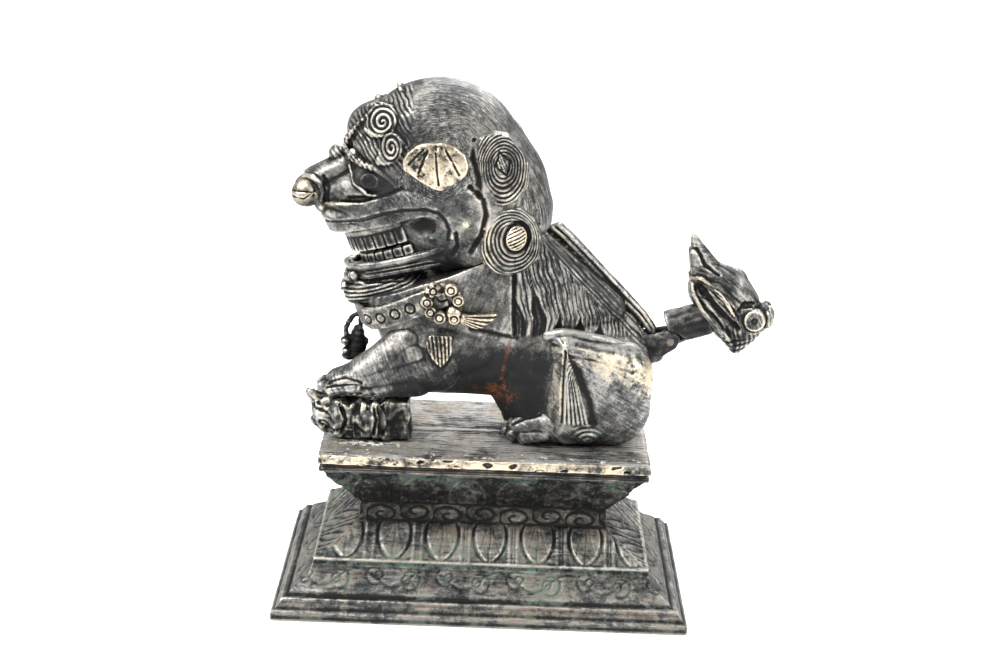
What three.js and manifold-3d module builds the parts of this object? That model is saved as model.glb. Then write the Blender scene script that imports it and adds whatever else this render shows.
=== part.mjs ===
// Guardian lion seated on a tiered lotus plinth, cast bronze, millimetres, +Z up.
// The lion looks towards -X with its left side towards -Y. The figure is made of hollow and
// solid castings that meet at seams, and its tail turns on a cross pin at the rump.
import * as THREE from 'three';
import { ConvexGeometry } from 'three/addons/geometries/ConvexGeometry.js';
import { mergeVertices } from 'three/addons/utils/BufferGeometryUtils.js';
import Module from 'manifold-3d';

const wasm = await Module();
wasm.setup();

// ---------------------------------------------------------------- driving dimensions
const seam = 0.3; // clearance wherever two pieces meet
const wall = 3; // wall of the hollow head and body castings
const plinthLength = 135; // foot, along X
const plinthWidth = 87.2; // foot, along Y
const plinthSideWall = 5; // plinth wall, measured level
const plinthTopPlate = 3;
const slabThickness = 5;
const slabGroove = 0.9; // how deep the joint line under the slab is cut back
const screwRadius = 2;
const screwHeadRadius = 3.6;
const screwHeadHeight = 2.4;
const screwBite = 8; // screw length inside the figure
const washerRadius = 5;
const washerThickness = 1;
const neckTilt = 23; // degrees, seam between head and body, rising towards the back
const mouthTilt = 21; // degrees, the bite line rises towards the cheek
const toothCount = 14;
const toothSweep = 150; // degrees, how far round the mouth the teeth run
const toothThickness = 3;
const toothSlit = 0.7;
const collarWidth = 8.5;
const collarThickness = 1.6;
const collarDrop = 2; // from the neck seam to the strap's upper edge
const ornamentRadius = 5.4; // to the middle of the ring's bead
const ornamentBead = 2;
const tailPinRadius = 1.4;
const tailPinLength = 11;
const tailLugRadius = 3.8;
const tailTongueThickness = 4;
const tailStemRadius = 6;
const tailStemLength = 15;
const tailStemTilt = 17; // degrees above level at rest
const tailTurnRoom = 0.4; // beyond the seam, where parts turn past each other
const wristBlockDepth = 11.5; // along X, behind the cub

// Each tier of the plinth: how far its edge stands in from the foot's edge, and its height.
const tiers = [
  { name: 'foot', inset: 0, z: 0 },
  { name: 'foot edge', inset: 0, z: 3.7 },
  { name: 'scroll border, lower edge', inset: 3.9, z: 7 },
  { name: 'scroll border, upper edge', inset: 10.8, z: 11.6 },
  { name: 'rising petals, lower edge', inset: 12.8, z: 16.8 },
  { name: 'waist, lower edge', inset: 26.4, z: 25.9 },
  { name: 'waist, upper edge', inset: 26.8, z: 32.2 },
  { name: 'falling petals, upper edge', inset: 15, z: 46.7 },
];
const slabInset = 13.5;
const plinthHeight = tiers.at(-1).z;
const slabTop = plinthHeight + seam + slabThickness + slabGroove;

// The lion's skeleton, measured from the slab's top: x backwards, z up.
const head = { x: -18, z: 90.5, radius: 28, halfWidth: 21 };
const neck = { x: -13, z: 58 };
const chest = { x: -18, z: 30 };
const rump = { x: 30.5, z: 24.5, radius: 24, halfWidth: 15 };
const shoulder = { x: -17, y: 10, z: 36 };
const leftPaw = { x: -48, y: 12.5, z: 19.3 }; // on the cub
const rightPaw = { x: -37, y: 12, z: 4.6 }; // on the slab
const knee = { x: 27, y: 12, z: 31 };
const hindToes = { x: 13, y: 10, z: 5.4 };
const tailPivot = { x: 59.5, z: 34.5 };
const mouthBack = { x: head.x - 3, z: head.z - 18.5 };
const collarRear = neck.x + 1; // the strap ends here, under the ornaments
const ornament = { x: neck.x - 2.2, y: 20.4, z: neck.z - 8.5 };
const pendant = { x: neck.x - 31.5, z: neck.z - 29.5 };

const LEFT = -1; // the lion's left is towards -Y
const RIGHT = 1;

// ---------------------------------------------------------------- solid modelling helpers
function toSolid(geometry) {
  const bare = geometry.clone();
  bare.deleteAttribute('normal');
  bare.deleteAttribute('uv');
  const merged = mergeVertices(bare, 1e-4);
  const mesh = new wasm.Mesh({
    numProp: 3,
    vertProperties: new Float32Array(merged.attributes.position.array),
    triVerts: new Uint32Array(merged.index.array),
  });
  return new wasm.Manifold(mesh);
}

function toGeometry(solid) {
  const mesh = solid.getMesh();
  const geometry = new THREE.BufferGeometry();
  geometry.setAttribute('position', new THREE.BufferAttribute(mesh.vertProperties, 3));
  geometry.setIndex(new THREE.BufferAttribute(mesh.triVerts, 1));
  geometry.computeVertexNormals();
  return geometry;
}

const union = (solids) => solids.reduce((whole, solid) => whole.add(solid));
const cut = (solid, tools) => tools.reduce((rest, tool) => rest.subtract(tool), solid);
const radians = THREE.MathUtils.degToRad;

const vertices = (position) => Array.from(
  { length: position.count }, (_, i) => new THREE.Vector3().fromBufferAttribute(position, i));

// Points on a unit sphere with its poles left and right, so mirrored pieces match.
const spherePoints = (() => {
  const sphere = new THREE.SphereGeometry(1, 12, 6);
  sphere.deleteAttribute('normal');
  sphere.deleteAttribute('uv');
  const { position } = mergeVertices(sphere, 1e-3).attributes;
  return vertices(position);
})();

const ball = (x, y, z, rx, ry = rx, rz = rx) => ({ x, y, z, rx, ry, rz });

// The tight skin round a set of balls, every radius grown by the same amount.
function skin(balls, grow = 0) {
  const points = balls.flatMap((b) =>
    spherePoints.map((p) => new THREE.Vector3(
      b.x + p.x * (b.rx + grow),
      b.y + p.y * (b.ry + grow),
      b.z + p.z * (b.rz + grow),
    )));
  return toSolid(new ConvexGeometry(points));
}

// A form is a list of skins that run into each other.
const form = (skins, grow = 0) => union(skins.map((balls) => skin(balls, grow)));
const onSide = (side, skins) => skins.map((balls) => balls.map((b) => ({ ...b, y: side * b.y })));

function block(low, high) {
  const size = new THREE.Vector3(...high).sub(new THREE.Vector3(...low));
  const geometry = new THREE.BoxGeometry(size.x, size.y, size.z);
  geometry.translate(low[0] + size.x / 2, low[1] + size.y / 2, low[2] + size.z / 2);
  return toSolid(geometry);
}

function rod(radius, length, sides = 16) {
  return new THREE.CylinderGeometry(radius, radius, length, sides);
}

const uprightRod = (radius, x, y, z0, z1, sides = 16) =>
  toSolid(rod(radius, z1 - z0, sides).rotateX(Math.PI / 2).translate(x, y, (z0 + z1) / 2));

const crossRod = (radius, x, z, y0, y1, sides = 16) =>
  toSolid(rod(radius, y1 - y0, sides).translate(x, (y0 + y1) / 2, z));

// ---------------------------------------------------------------- materials
const bronze = { color: 0x3a362f, roughness: 0.5, metalness: 1 };
const wornBrass = { color: 0x9c8350, roughness: 0.38, metalness: 1 };
const steel = { color: 0x6e6a64, roughness: 0.5, metalness: 1 };

function node(name, solid, finish) {
  const mesh = new THREE.Mesh(toGeometry(solid), new THREE.MeshStandardMaterial(finish));
  mesh.name = name;
  return mesh;
}

// ---------------------------------------------------------------- plinth, slab and screws
const halfLength = plinthLength / 2;
const halfWidth = plinthWidth / 2;

function frustum(low, high) {
  const corners = [low, high].flatMap(({ inset, z }) =>
    [[-1, -1], [-1, 1], [1, -1], [1, 1]].map(([sx, sy]) =>
      new THREE.Vector3(sx * (halfLength - inset), sy * (halfWidth - inset), z)));
  return toSolid(new ConvexGeometry(corners));
}

const stack = (profile) => union(profile.slice(1).map((tier, i) => frustum(profile[i], tier)));

function makePlinth() {
  const hollow = tiers.map((tier, i) => ({
    inset: tier.inset + plinthSideWall,
    z: i === tiers.length - 1 ? plinthHeight - plinthTopPlate : tier.z,
  }));
  hollow[0].z = -1;
  const holes = screwPlaces.map(({ x, y }) => uprightRod(screwRadius + seam, x, y, 0, plinthHeight + 1));
  return cut(stack(tiers), [stack(hollow), ...holes]);
}

// The slab's underside is cut back all round, which leaves the dark joint line.
function makeSlab() {
  const bottom = plinthHeight + seam;
  const neckLine = bottom + slabGroove;
  const body = stack([
    { inset: slabInset + 2 * slabGroove, z: bottom },
    { inset: slabInset + 2 * slabGroove, z: neckLine },
  ]);
  const plate = stack([
    { inset: slabInset, z: neckLine },
    { inset: slabInset, z: slabTop },
  ]);
  const holes = screwPlaces.map(({ x, y }) => uprightRod(screwRadius + seam, x, y, bottom - 1, slabTop + 1));
  return cut(union([body, plate]), holes);
}

// One screw goes up into the cub, the other into the rump.
const screwPlaces = [
  { name: 'front', x: -31, y: -8 },
  { name: 'rear', x: rump.x, y: 0 },
];

function makeScrew({ x, y }) {
  const headTop = plinthHeight - plinthTopPlate - seam - washerThickness - seam;
  const shank = uprightRod(screwRadius, x, y, headTop - screwHeadHeight / 2, slabTop + screwBite);
  return union([shank, uprightRod(screwHeadRadius, x, y, headTop - screwHeadHeight, headTop, 6)]);
}

function makeWasher({ x, y }) {
  const top = plinthHeight - plinthTopPlate - seam;
  const disc = uprightRod(washerRadius, x, y, top - washerThickness, top);
  return cut(disc, [uprightRod(screwRadius + seam, x, y, top - washerThickness - 1, top + 1)]);
}

// The blind hole in the figure that a screw bites into, in the figure's own heights.
const screwHole = ({ x, y }) => uprightRod(screwRadius + seam, x, y, -1, screwBite + seam);

// ---------------------------------------------------------------- body and head castings
const bellyBall = ball(rump.x - 22.5, 0, rump.z + 5.5, 14, 15, 17);

const torsoSkins = [
  [
    ball(neck.x - 16, 0, neck.z - 13, 12.5, 14, 10),
    ball(neck.x + 1, 0, neck.z + 2, 18, 19, 12),
    ball(neck.x + 21, 0, neck.z + 8, 10.5, 15, 8),
    ball(chest.x, 0, chest.z, 15, 15, 17),
    bellyBall,
    ball(rump.x + 5.5, 0, rump.z + 19.5, 8.5, 10),
  ],
  [
    bellyBall,
    ball(rump.x, 0, rump.z, rump.radius, rump.halfWidth, rump.radius),
    ball(rump.x + 7.5, 0, 14 + seam, 14, 15, 14),
    ball(rump.x - 16.5, 0, 9.9 + seam, 9.5, 13, 9.9),
  ],
];

// Widths on the head are taken in from its own half width.
const within = (inset) => head.halfWidth - inset;

const craniumSkin = [
  ball(head.x, 0, head.z, head.radius, within(0), head.radius),
  ball(head.x + 9, 0, head.z - 10.5, head.radius - 1, within(0), head.radius - 1),
  ball(head.x + 27, 0, head.z - 13, 10.5, within(4), 10),
];

const headSkins = [
  craniumSkin,
  [
    ball(head.x - 12, 0, head.z + 6.5, 16, within(3), 15),
    ball(head.x - 20, 0, head.z + 10.5, 11.5, within(6), 10),
  ],
  [
    ball(head.x - 12, 0, head.z - 4.5, 14, within(5), 10),
    ball(head.x - 32, 0, head.z - 10.5, 8, within(11.5), 6.5),
    ball(head.x - 39, 0, head.z - 7, 5.5, within(14.5), 5.7),
  ],
  [
    ball(head.x - 31, 0, head.z - 15.5, 6, within(9), 3.6),
    ball(head.x - 9, 0, head.z - 12, 8, within(4.5), 4.5),
  ],
  [
    ball(head.x + 4, 0, head.z - 14.5, 11, within(3), 11),
    ball(head.x + 12, 0, head.z - 24.5, 16, within(1.5), 10),
  ],
];

// A thick sheet parallel to the neck seam, between two heights above the seam.
function neckLayer(low, high) {
  const sheet = new THREE.BoxGeometry(400, 400, high - low);
  sheet.translate(0, 0, (low + high) / 2);
  sheet.rotateY(-radians(neckTilt));
  sheet.translate(neck.x, 0, neck.z);
  return toSolid(sheet);
}

const farOff = 400;
const aboveNeck = (offset) => neckLayer(offset, farOff);
const belowNeck = (offset) => neckLayer(-farOff, offset);

const torsoOuter = (grow) => form(torsoSkins, grow).subtract(aboveNeck(-seam / 2 + grow));
const headOuter = (grow) => form(headSkins, grow).subtract(belowNeck(seam / 2 - grow));

function makeTorso() {
  const rear = screwPlaces[1];
  const boss = uprightRod(screwRadius + wall, rear.x, rear.y, seam, screwBite + wall)
    .intersect(torsoOuter(0));
  const hollow = form(torsoSkins, -wall).subtract(boss);
  return cut(torsoOuter(0), [hollow, screwHole(rear)]);
}

const makeHead = () => headOuter(0).subtract(skin(craniumSkin, -wall));

// ---------------------------------------------------------------- face
const jawSkins = [
  [
    ball(head.x - 22, 0, head.z - 36, 6, within(11.5), 2.8),
    ball(head.x - 2, 0, head.z - 30, 8, within(6.5), 4),
  ],
  [
    ball(head.x - 23, 0, head.z - 42, 5.5, within(13), 4),
    ball(head.x - 9, 0, head.z - 39.5, 8, within(9), 5),
  ],
];

// A horseshoe of teeth: a band in plan, slit between the teeth from its biting edge.
function toothBand({ depth, halfSpan, low, high, biteAt }) {
  const outline = new THREE.Shape();
  const sweep = radians(toothSweep);
  const [from, to] = [Math.PI - sweep / 2, Math.PI + sweep / 2];
  outline.absellipse(0, 0, depth, halfSpan, from, to, false);
  outline.absellipse(0, 0, depth - toothThickness, halfSpan - toothThickness, to, from, true);
  const extrusion = { depth: high - low, bevelEnabled: false, curveSegments: 12 };
  const band = new THREE.ExtrudeGeometry(outline, extrusion);
  band.translate(0, 0, low);
  const slitHeight = (high - low) * 0.6;
  const slitMiddle = biteAt === 'bottom' ? low : high;
  const slits = Array.from({ length: toothCount - 1 }, (_, i) => {
    const turn = from + ((i + 1) / toothCount) * sweep;
    const slit = new THREE.BoxGeometry(2 * toothThickness, toothSlit, 2 * slitHeight);
    slit.rotateZ(turn);
    slit.translate(
      (depth - toothThickness / 2) * Math.cos(turn),
      (halfSpan - toothThickness / 2) * Math.sin(turn),
      slitMiddle);
    return toSolid(slit);
  });
  const teeth = cut(toSolid(band), slits);
  return teeth.rotate([0, -mouthTilt, 0]).translate([mouthBack.x, 0, mouthBack.z]);
}

const makeUpperTeeth = () => cut(
  toothBand({ depth: 26, halfSpan: within(6.4), low: 0, high: 8, biteAt: 'bottom' }),
  [headOuter(seam)]);

const makeJaw = () => cut(form(jawSkins), [headOuter(seam), torsoOuter(seam), collarBand(seam)]);

const makeLowerTeeth = () => cut(
  toothBand({ depth: 24, halfSpan: within(7), low: -7.5, high: -3, biteAt: 'top' }),
  [form(jawSkins, seam), headOuter(seam)]);

const makeNose = () => cut(
  skin([ball(head.x - 43, 0, head.z - 10.5, 5.2, within(13), 5.2)]),
  [headOuter(seam)]);

const makeEye = (side) => cut(
  skin([ball(head.x - 20, side * within(8.5), head.z - 4.5, 4.2, 3.4, 3.4)]),
  [headOuter(seam)]);

const makeEar = (side) => cut(form(onSide(side, [[
  ball(head.x - 0.5, within(0.7), head.z + 4, 10.3, 2.6, 6.8),
  ball(head.x + 1.2, within(0.7), head.z - 3.7, 1.5, 2, 1.5),
]])), [headOuter(seam)]);

const curlY = within(4);
const upperCurlSkins = [[ball(head.x + 21, curlY, head.z + 3, 9.2, 5, 12.2)]];
const lowerCurlSkins = [[ball(head.x + 24.3, curlY, head.z - 20, 10, 5, 11.4)]];

const makeUpperCurl = (side) => cut(form(onSide(side, upperCurlSkins)), [headOuter(seam)]);

const makeLowerCurl = (side) => cut(
  form(onSide(side, lowerCurlSkins)),
  [headOuter(seam), torsoOuter(seam), form(onSide(side, upperCurlSkins), seam)]);

// ---------------------------------------------------------------- collar and its ornaments
function collarBand(grow = 0) {
  const cover = form(torsoSkins, seam + collarThickness + grow);
  const layer = neckLayer(-collarDrop - collarWidth - grow, grow - collarDrop);
  const front = block([-100, -60, -10], [collarRear + grow, 60, 100]);
  return cover.intersect(layer).intersect(front);
}

const makeCollar = () => cut(collarBand(), [form(torsoSkins, seam)]);

function makeOrnament(side) {
  const ring = new THREE.TorusGeometry(ornamentRadius, ornamentBead, 6, 14);
  ring.rotateX(Math.PI / 2);
  ring.translate(ornament.x, side * ornament.y, ornament.z);
  const tassel = form(onSide(side, [[
    ball(ornament.x + 6.5, ornament.y - 1.2, ornament.z - 6, 2.6),
    ball(ornament.x + 15, ornament.y - 3, ornament.z - 6.2, 3, 1.8, 3),
  ]]));
  return cut(union([toSolid(ring), tassel]), [
    torsoOuter(2 * seam + collarThickness), headOuter(seam), form(onSide(side, lowerCurlSkins), seam)]);
}

function makePendant() {
  const { x, z } = pendant;
  const loop = new THREE.TorusGeometry(2.7, 0.9, 6, 12);
  loop.rotateX(Math.PI / 2).translate(x + 0.5, 0, z + 8.1);
  const knot = skin([ball(x, 0, z + 3.1, 2.6, 2.6, 2.4)]);
  const tassel = skin([ball(x, 0, z, 2.4, 2.6, 1.5), ball(x - 0.5, 0, z - 4.3, 4.3, 3.6, 1.7)]);
  return cut(union([toSolid(loop), knot, tassel]), [collarBand(seam), torsoOuter(seam)]);
}

// ---------------------------------------------------------------- legs and cub
const shoulderBall = ball(shoulder.x, shoulder.y, shoulder.z, 13, 7, 10);

// A foreleg runs from the shoulder through its elbow and wrist to the paw.
const foreleg = (elbow, wrist, paw) => [[shoulderBall, elbow], [elbow, wrist], [wrist, paw]];
const legY = shoulder.y + 2;

const leftPawBall = ball(leftPaw.x, leftPaw.y, leftPaw.z, 7.5, 6.5, 4.2);
const leftForelegSkins = foreleg(
  ball(shoulder.x, legY, shoulder.z - 10, 9, 6.5, 9),
  ball(leftPaw.x + 12, legY, leftPaw.z + 3.2, 7, 6.5, 7),
  leftPawBall);

const rightForelegSkins = foreleg(
  ball(shoulder.x - 3, legY, shoulder.z - 12, 8, 6.5, 9),
  ball(rightPaw.x + 7, legY, rightPaw.z + 6.4, 6, 6, 6.5),
  ball(rightPaw.x, rightPaw.y, rightPaw.z, 8, 6.5, 4.3));

const makeForeleg = (side, skins) => cut(form(onSide(side, skins)), [torsoOuter(seam), collarBand(seam)]);

const hindLegSkins = [
  [
    ball(knee.x, knee.y, knee.z, 8.5, 7.5, 9.5),
    ball(rump.x + 13.5, knee.y - 1, rump.z - 0.5, 10.5, 8, 12),
    ball(rump.x + 11.5, knee.y - 1, 13.7 + seam, 12, 7, 13.7),
    ball(knee.x + 2, knee.y, 8.7 + seam, 8, 7, 8.7),
  ],
  [
    ball(knee.x + 2, hindToes.y + 1, 4.8 + seam, 6.5, 4.5, 4.8),
    ball(hindToes.x, hindToes.y, hindToes.z, 7.5, 5, 5.1),
  ],
];

const makeHindLeg = (side) => cut(form(onSide(side, hindLegSkins)), [torsoOuter(seam)]);

// The cub lies on its back under the left paw, with a block behind it under the wrist.
function makeCub() {
  const under = leftPaw.z - leftPawBall.rz; // the cub fills the height below the paw
  const half = under / 2 - 0.25;
  const back = leftPaw.x + 12;
  const { y } = rightPaw;
  // A ball that spans from a height above the slab up to just below the paw.
  const spanning = (x, low, drop, rx, ry) =>
    ball(x, y, (low + under - drop) / 2, rx, ry, (under - drop - low) / 2);
  const body = form(onSide(LEFT, [
    [ball(back - 9, y, half + seam, 9, 7, half), ball(back + 3, y - 0.5, half - 0.2, 8, 6.5, half - 0.5)],
    [spanning(back - 17, 3, 0.1, 4.5, 5), spanning(back - 9, 4, 1.1, 5, 6)],
    [ball(back - 17, y, under - 4.1, 3, 3, 3), ball(back - 21, y, under + 0.4, 2.3, 2.5, 2)],
  ]));
  const wristBlock = block([back, -y - 5, seam], [back + wristBlockDepth, 7.5 - y, under - 1.1]);
  return cut(union([body, wristBlock]), [
    form(onSide(LEFT, leftForelegSkins), seam), torsoOuter(seam), screwHole(screwPlaces[0])]);
}

// ---------------------------------------------------------------- tail
const tailEarInside = tailTongueThickness / 2 + seam;
const tailEarOutside = tailPinLength / 2 - seam;
const tailSweep = seam + tailTurnRoom;
const tailHole = crossRod(tailPinRadius + seam, tailPivot.x, tailPivot.z, -tailPinLength, tailPinLength);

const hullOfRods = (rods) => toSolid(new ConvexGeometry(
  rods.flatMap((geometry) => vertices(geometry.attributes.position))));

function makeTailLug() {
  const root = { x: tailPivot.x - 8.5, z: tailPivot.z - 3.5 };
  const ears = [LEFT, RIGHT].map((side) => {
    const width = tailEarOutside - tailEarInside;
    const y = side * (tailEarInside + width / 2);
    return hullOfRods([
      rod(tailLugRadius, width).translate(tailPivot.x, y, tailPivot.z),
      rod(tailLugRadius + 1.7, width).translate(root.x, y, root.z),
    ]);
  });
  const pad = skin([ball(root.x + 1, 0, root.z, 4, tailEarOutside, tailLugRadius + 1.7)]);
  const slot = crossRod(
    tailLugRadius - seam + tailSweep, tailPivot.x, tailPivot.z, -tailEarInside, tailEarInside);
  return cut(union([...ears, pad]), [torsoOuter(seam), slot, tailHole]);
}

const makeTailPin = () => crossRod(
  tailPinRadius, tailPivot.x, tailPivot.z, -tailPinLength / 2, tailPinLength / 2);

// A rod along the tail, from its front face at the pivot, drawn to a distance behind it.
function alongTail(radius, start, end) {
  const tilt = radians(tailStemTilt);
  const lift = tailStemRadius * 0.6; // the pin crosses near the stem's lower edge
  const middle = (start + end) / 2;
  const stem = rod(radius, end - start, 16).rotateX(Math.PI / 2).rotateY(Math.PI / 2 - tilt);
  return toSolid(stem.translate(
    tailPivot.x - lift * Math.sin(tilt) + middle * Math.cos(tilt),
    0,
    tailPivot.z + lift * Math.cos(tilt) + middle * Math.sin(tilt)));
}

function makeTailStem() {
  const tilt = radians(tailStemTilt);
  const reach = tailStemRadius * 2;
  const lugRoom = crossRod(tailLugRadius + tailSweep, tailPivot.x, tailPivot.z, -reach, reach);
  const web = 7;
  const tongue = hullOfRods([
    rod(tailLugRadius - seam, tailTongueThickness).translate(tailPivot.x, 0, tailPivot.z),
    rod(tailLugRadius - 1.5, tailTongueThickness).translate(
      tailPivot.x + web * Math.cos(tilt), 0, tailPivot.z + web * Math.sin(tilt)),
  ]);
  const stem = union([alongTail(tailStemRadius, 0, tailStemLength).subtract(lugRoom), tongue]);
  return stem.subtract(tailHole);
}

function makeTailPlume() {
  const x = tailPivot.x + tailStemLength; // where the stem ends
  const z = tailPivot.z + 6.5;
  const bud = [
    [ball(x - 1, 0, z + 9, 7, 8, 9), ball(x + 9.5, 0, z, 8, 9, 8)],
    [ball(x - 3, 0, z + 15, 5.5, 6, 6), ball(x - 9.1, 0, z + 28.8, 1, 1.2, 1)],
    [ball(x + 9.5, 0, z, 7, 8, 7), ball(x + 16.5, 0, z + 2, 3.1, 6, 4.5)],
    [ball(x + 8.5, 0, z - 2, 7, 7.5, 6), ball(x + 7.5, 0, z - 9.5, 2.4, 5, 2.2)],
  ];
  return cut(form(bud), [alongTail(tailStemRadius + seam, -1, tailStemLength + seam)]);
}

// ---------------------------------------------------------------- assembly
const base = new THREE.Group();
base.add(node('plinth', makePlinth(), bronze));
base.add(node('slab', makeSlab(), bronze));
for (const place of screwPlaces) {
  base.add(node(`${place.name}_screw`, makeScrew(place), steel));
  base.add(node(`${place.name}_washer`, makeWasher(place), steel));
}

const tail = new THREE.Group();
tail.add(node('tail_stem', makeTailStem(), bronze));
tail.add(node('tail_plume', makeTailPlume(), bronze));

const figure = new THREE.Group();
figure.position.z = slabTop;
figure.add(node('torso_shell', makeTorso(), bronze));
figure.add(node('head_shell', makeHead(), bronze));
figure.add(node('nose', makeNose(), wornBrass));
figure.add(node('upper_teeth', makeUpperTeeth(), bronze));
figure.add(node('lower_teeth', makeLowerTeeth(), bronze));
figure.add(node('lower_jaw', makeJaw(), bronze));
figure.add(node('collar', makeCollar(), bronze));
figure.add(node('chest_pendant', makePendant(), bronze));
figure.add(node('left_foreleg', makeForeleg(LEFT, leftForelegSkins), bronze));
figure.add(node('right_foreleg', makeForeleg(RIGHT, rightForelegSkins), bronze));
figure.add(node('cub', makeCub(), bronze));
for (const [name, side] of [['left', LEFT], ['right', RIGHT]]) {
  figure.add(node(`${name}_eye`, makeEye(side), bronze));
  figure.add(node(`${name}_ear`, makeEar(side), wornBrass));
  figure.add(node(`${name}_upper_curl`, makeUpperCurl(side), bronze));
  figure.add(node(`${name}_lower_curl`, makeLowerCurl(side), bronze));
  figure.add(node(`${name}_ornament`, makeOrnament(side), wornBrass));
  figure.add(node(`${name}_hind_leg`, makeHindLeg(side), bronze));
}
figure.add(node('tail_lug', makeTailLug(), bronze));
figure.add(node('tail_pin', makeTailPin(), steel));
figure.add(tail);

// The origin is the middle of the object's bounding box, on the surface it stands on.
const lion = new THREE.Group();
lion.add(base, figure);
lion.updateMatrixWorld(true);
const extent = new THREE.Box3().setFromObject(lion, true);
lion.position.x = -(extent.min.x + extent.max.x) / 2;

export default lion;
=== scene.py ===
"""Looks of a cast bronze guardian lion on a lotus plinth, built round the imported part.

The figure is modelled in millimetres in its own frame: x runs from the face to the tail,
y from the lion's left (negative) to its right, z up from the top of the slab, and x = 0 is the
middle of the plinth. Each finished piece is then put in place, in metres, by the frame.
"""

from __future__ import annotations

import logging
import math
from dataclasses import dataclass, field
from enum import Enum
from typing import Iterable, Sequence

import bmesh
import bpy
import numpy as np
from mathutils import Matrix, Vector


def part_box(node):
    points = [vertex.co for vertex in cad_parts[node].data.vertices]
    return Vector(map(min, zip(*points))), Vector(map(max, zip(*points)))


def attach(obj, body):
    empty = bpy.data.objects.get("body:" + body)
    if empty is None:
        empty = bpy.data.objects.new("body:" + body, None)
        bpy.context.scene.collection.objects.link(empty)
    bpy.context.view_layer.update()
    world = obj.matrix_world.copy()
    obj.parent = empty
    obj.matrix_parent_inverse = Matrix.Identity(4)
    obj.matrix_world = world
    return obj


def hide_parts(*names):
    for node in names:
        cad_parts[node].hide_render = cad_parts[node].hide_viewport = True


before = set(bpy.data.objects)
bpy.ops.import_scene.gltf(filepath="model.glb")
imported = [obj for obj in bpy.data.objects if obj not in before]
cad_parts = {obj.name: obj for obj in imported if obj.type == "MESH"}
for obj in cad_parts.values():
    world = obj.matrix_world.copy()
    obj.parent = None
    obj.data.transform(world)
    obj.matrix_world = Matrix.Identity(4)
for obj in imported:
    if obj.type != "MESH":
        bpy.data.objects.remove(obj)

LOG = logging.getLogger("guardian_lion")
MM = 0.001
SIDES = (("left", -1.0), ("right", 1.0))
FAR = 1e9  # further than anything on the part
COARSE = 1.0  # voxels grow by this while trying things

Point = tuple[float, float, float]
Field = np.ndarray


class Slot(Enum):
    """The record's material slots."""

    FIGURE = "figure_bronze"
    PLINTH = "plinth_bronze"
    BRASS = "worn_brass"
    IRON = "iron_fixings"


class Body(Enum):
    """The bodies that pieces ride on."""

    STATUE = "statue"
    TAIL = "tail"


# --- shader maths


class Signal:
    """One shader value; Python's operators on it add Math nodes."""

    def __init__(self, graph: Graph, socket: bpy.types.NodeSocket) -> None:
        """Wraps a socket of a graph."""
        self.graph = graph
        self.socket = socket

    def _math(self, operation: str, *terms: Signal | float) -> Signal:
        """Adds one Math node over the terms."""
        return self.graph.node("ShaderNodeMath", {"operation": operation}, dict(enumerate(terms)))

    def __add__(self, other: Signal | float) -> Signal:
        """Sum."""
        return self._math("ADD", self, other)

    __radd__ = __add__

    def __mul__(self, other: Signal | float) -> Signal:
        """Product."""
        return self._math("MULTIPLY", self, other)

    __rmul__ = __mul__

    def __sub__(self, other: Signal | float) -> Signal:
        """Difference."""
        return self._math("SUBTRACT", self, other)

    def __rsub__(self, other: Signal | float) -> Signal:
        """Difference from a number."""
        return self._math("SUBTRACT", other, self)

    def limited(self) -> Signal:
        """The value held between 0 and 1."""
        made = self._math("ADD", self, 0.0)
        made.socket.node.use_clamp = True
        return made

    def step(self, low: float, high: float) -> Signal:
        """A smooth rise from 0 at low to 1 at high.

        Args:
            low: Value where the rise starts.
            high: Value where it ends.

        Returns:
            The rise.
        """
        inputs = {"Value": self, "From Min": low, "From Max": high}
        return self.graph.node("ShaderNodeMapRange", {"interpolation_type": "SMOOTHSTEP"}, inputs)


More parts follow.
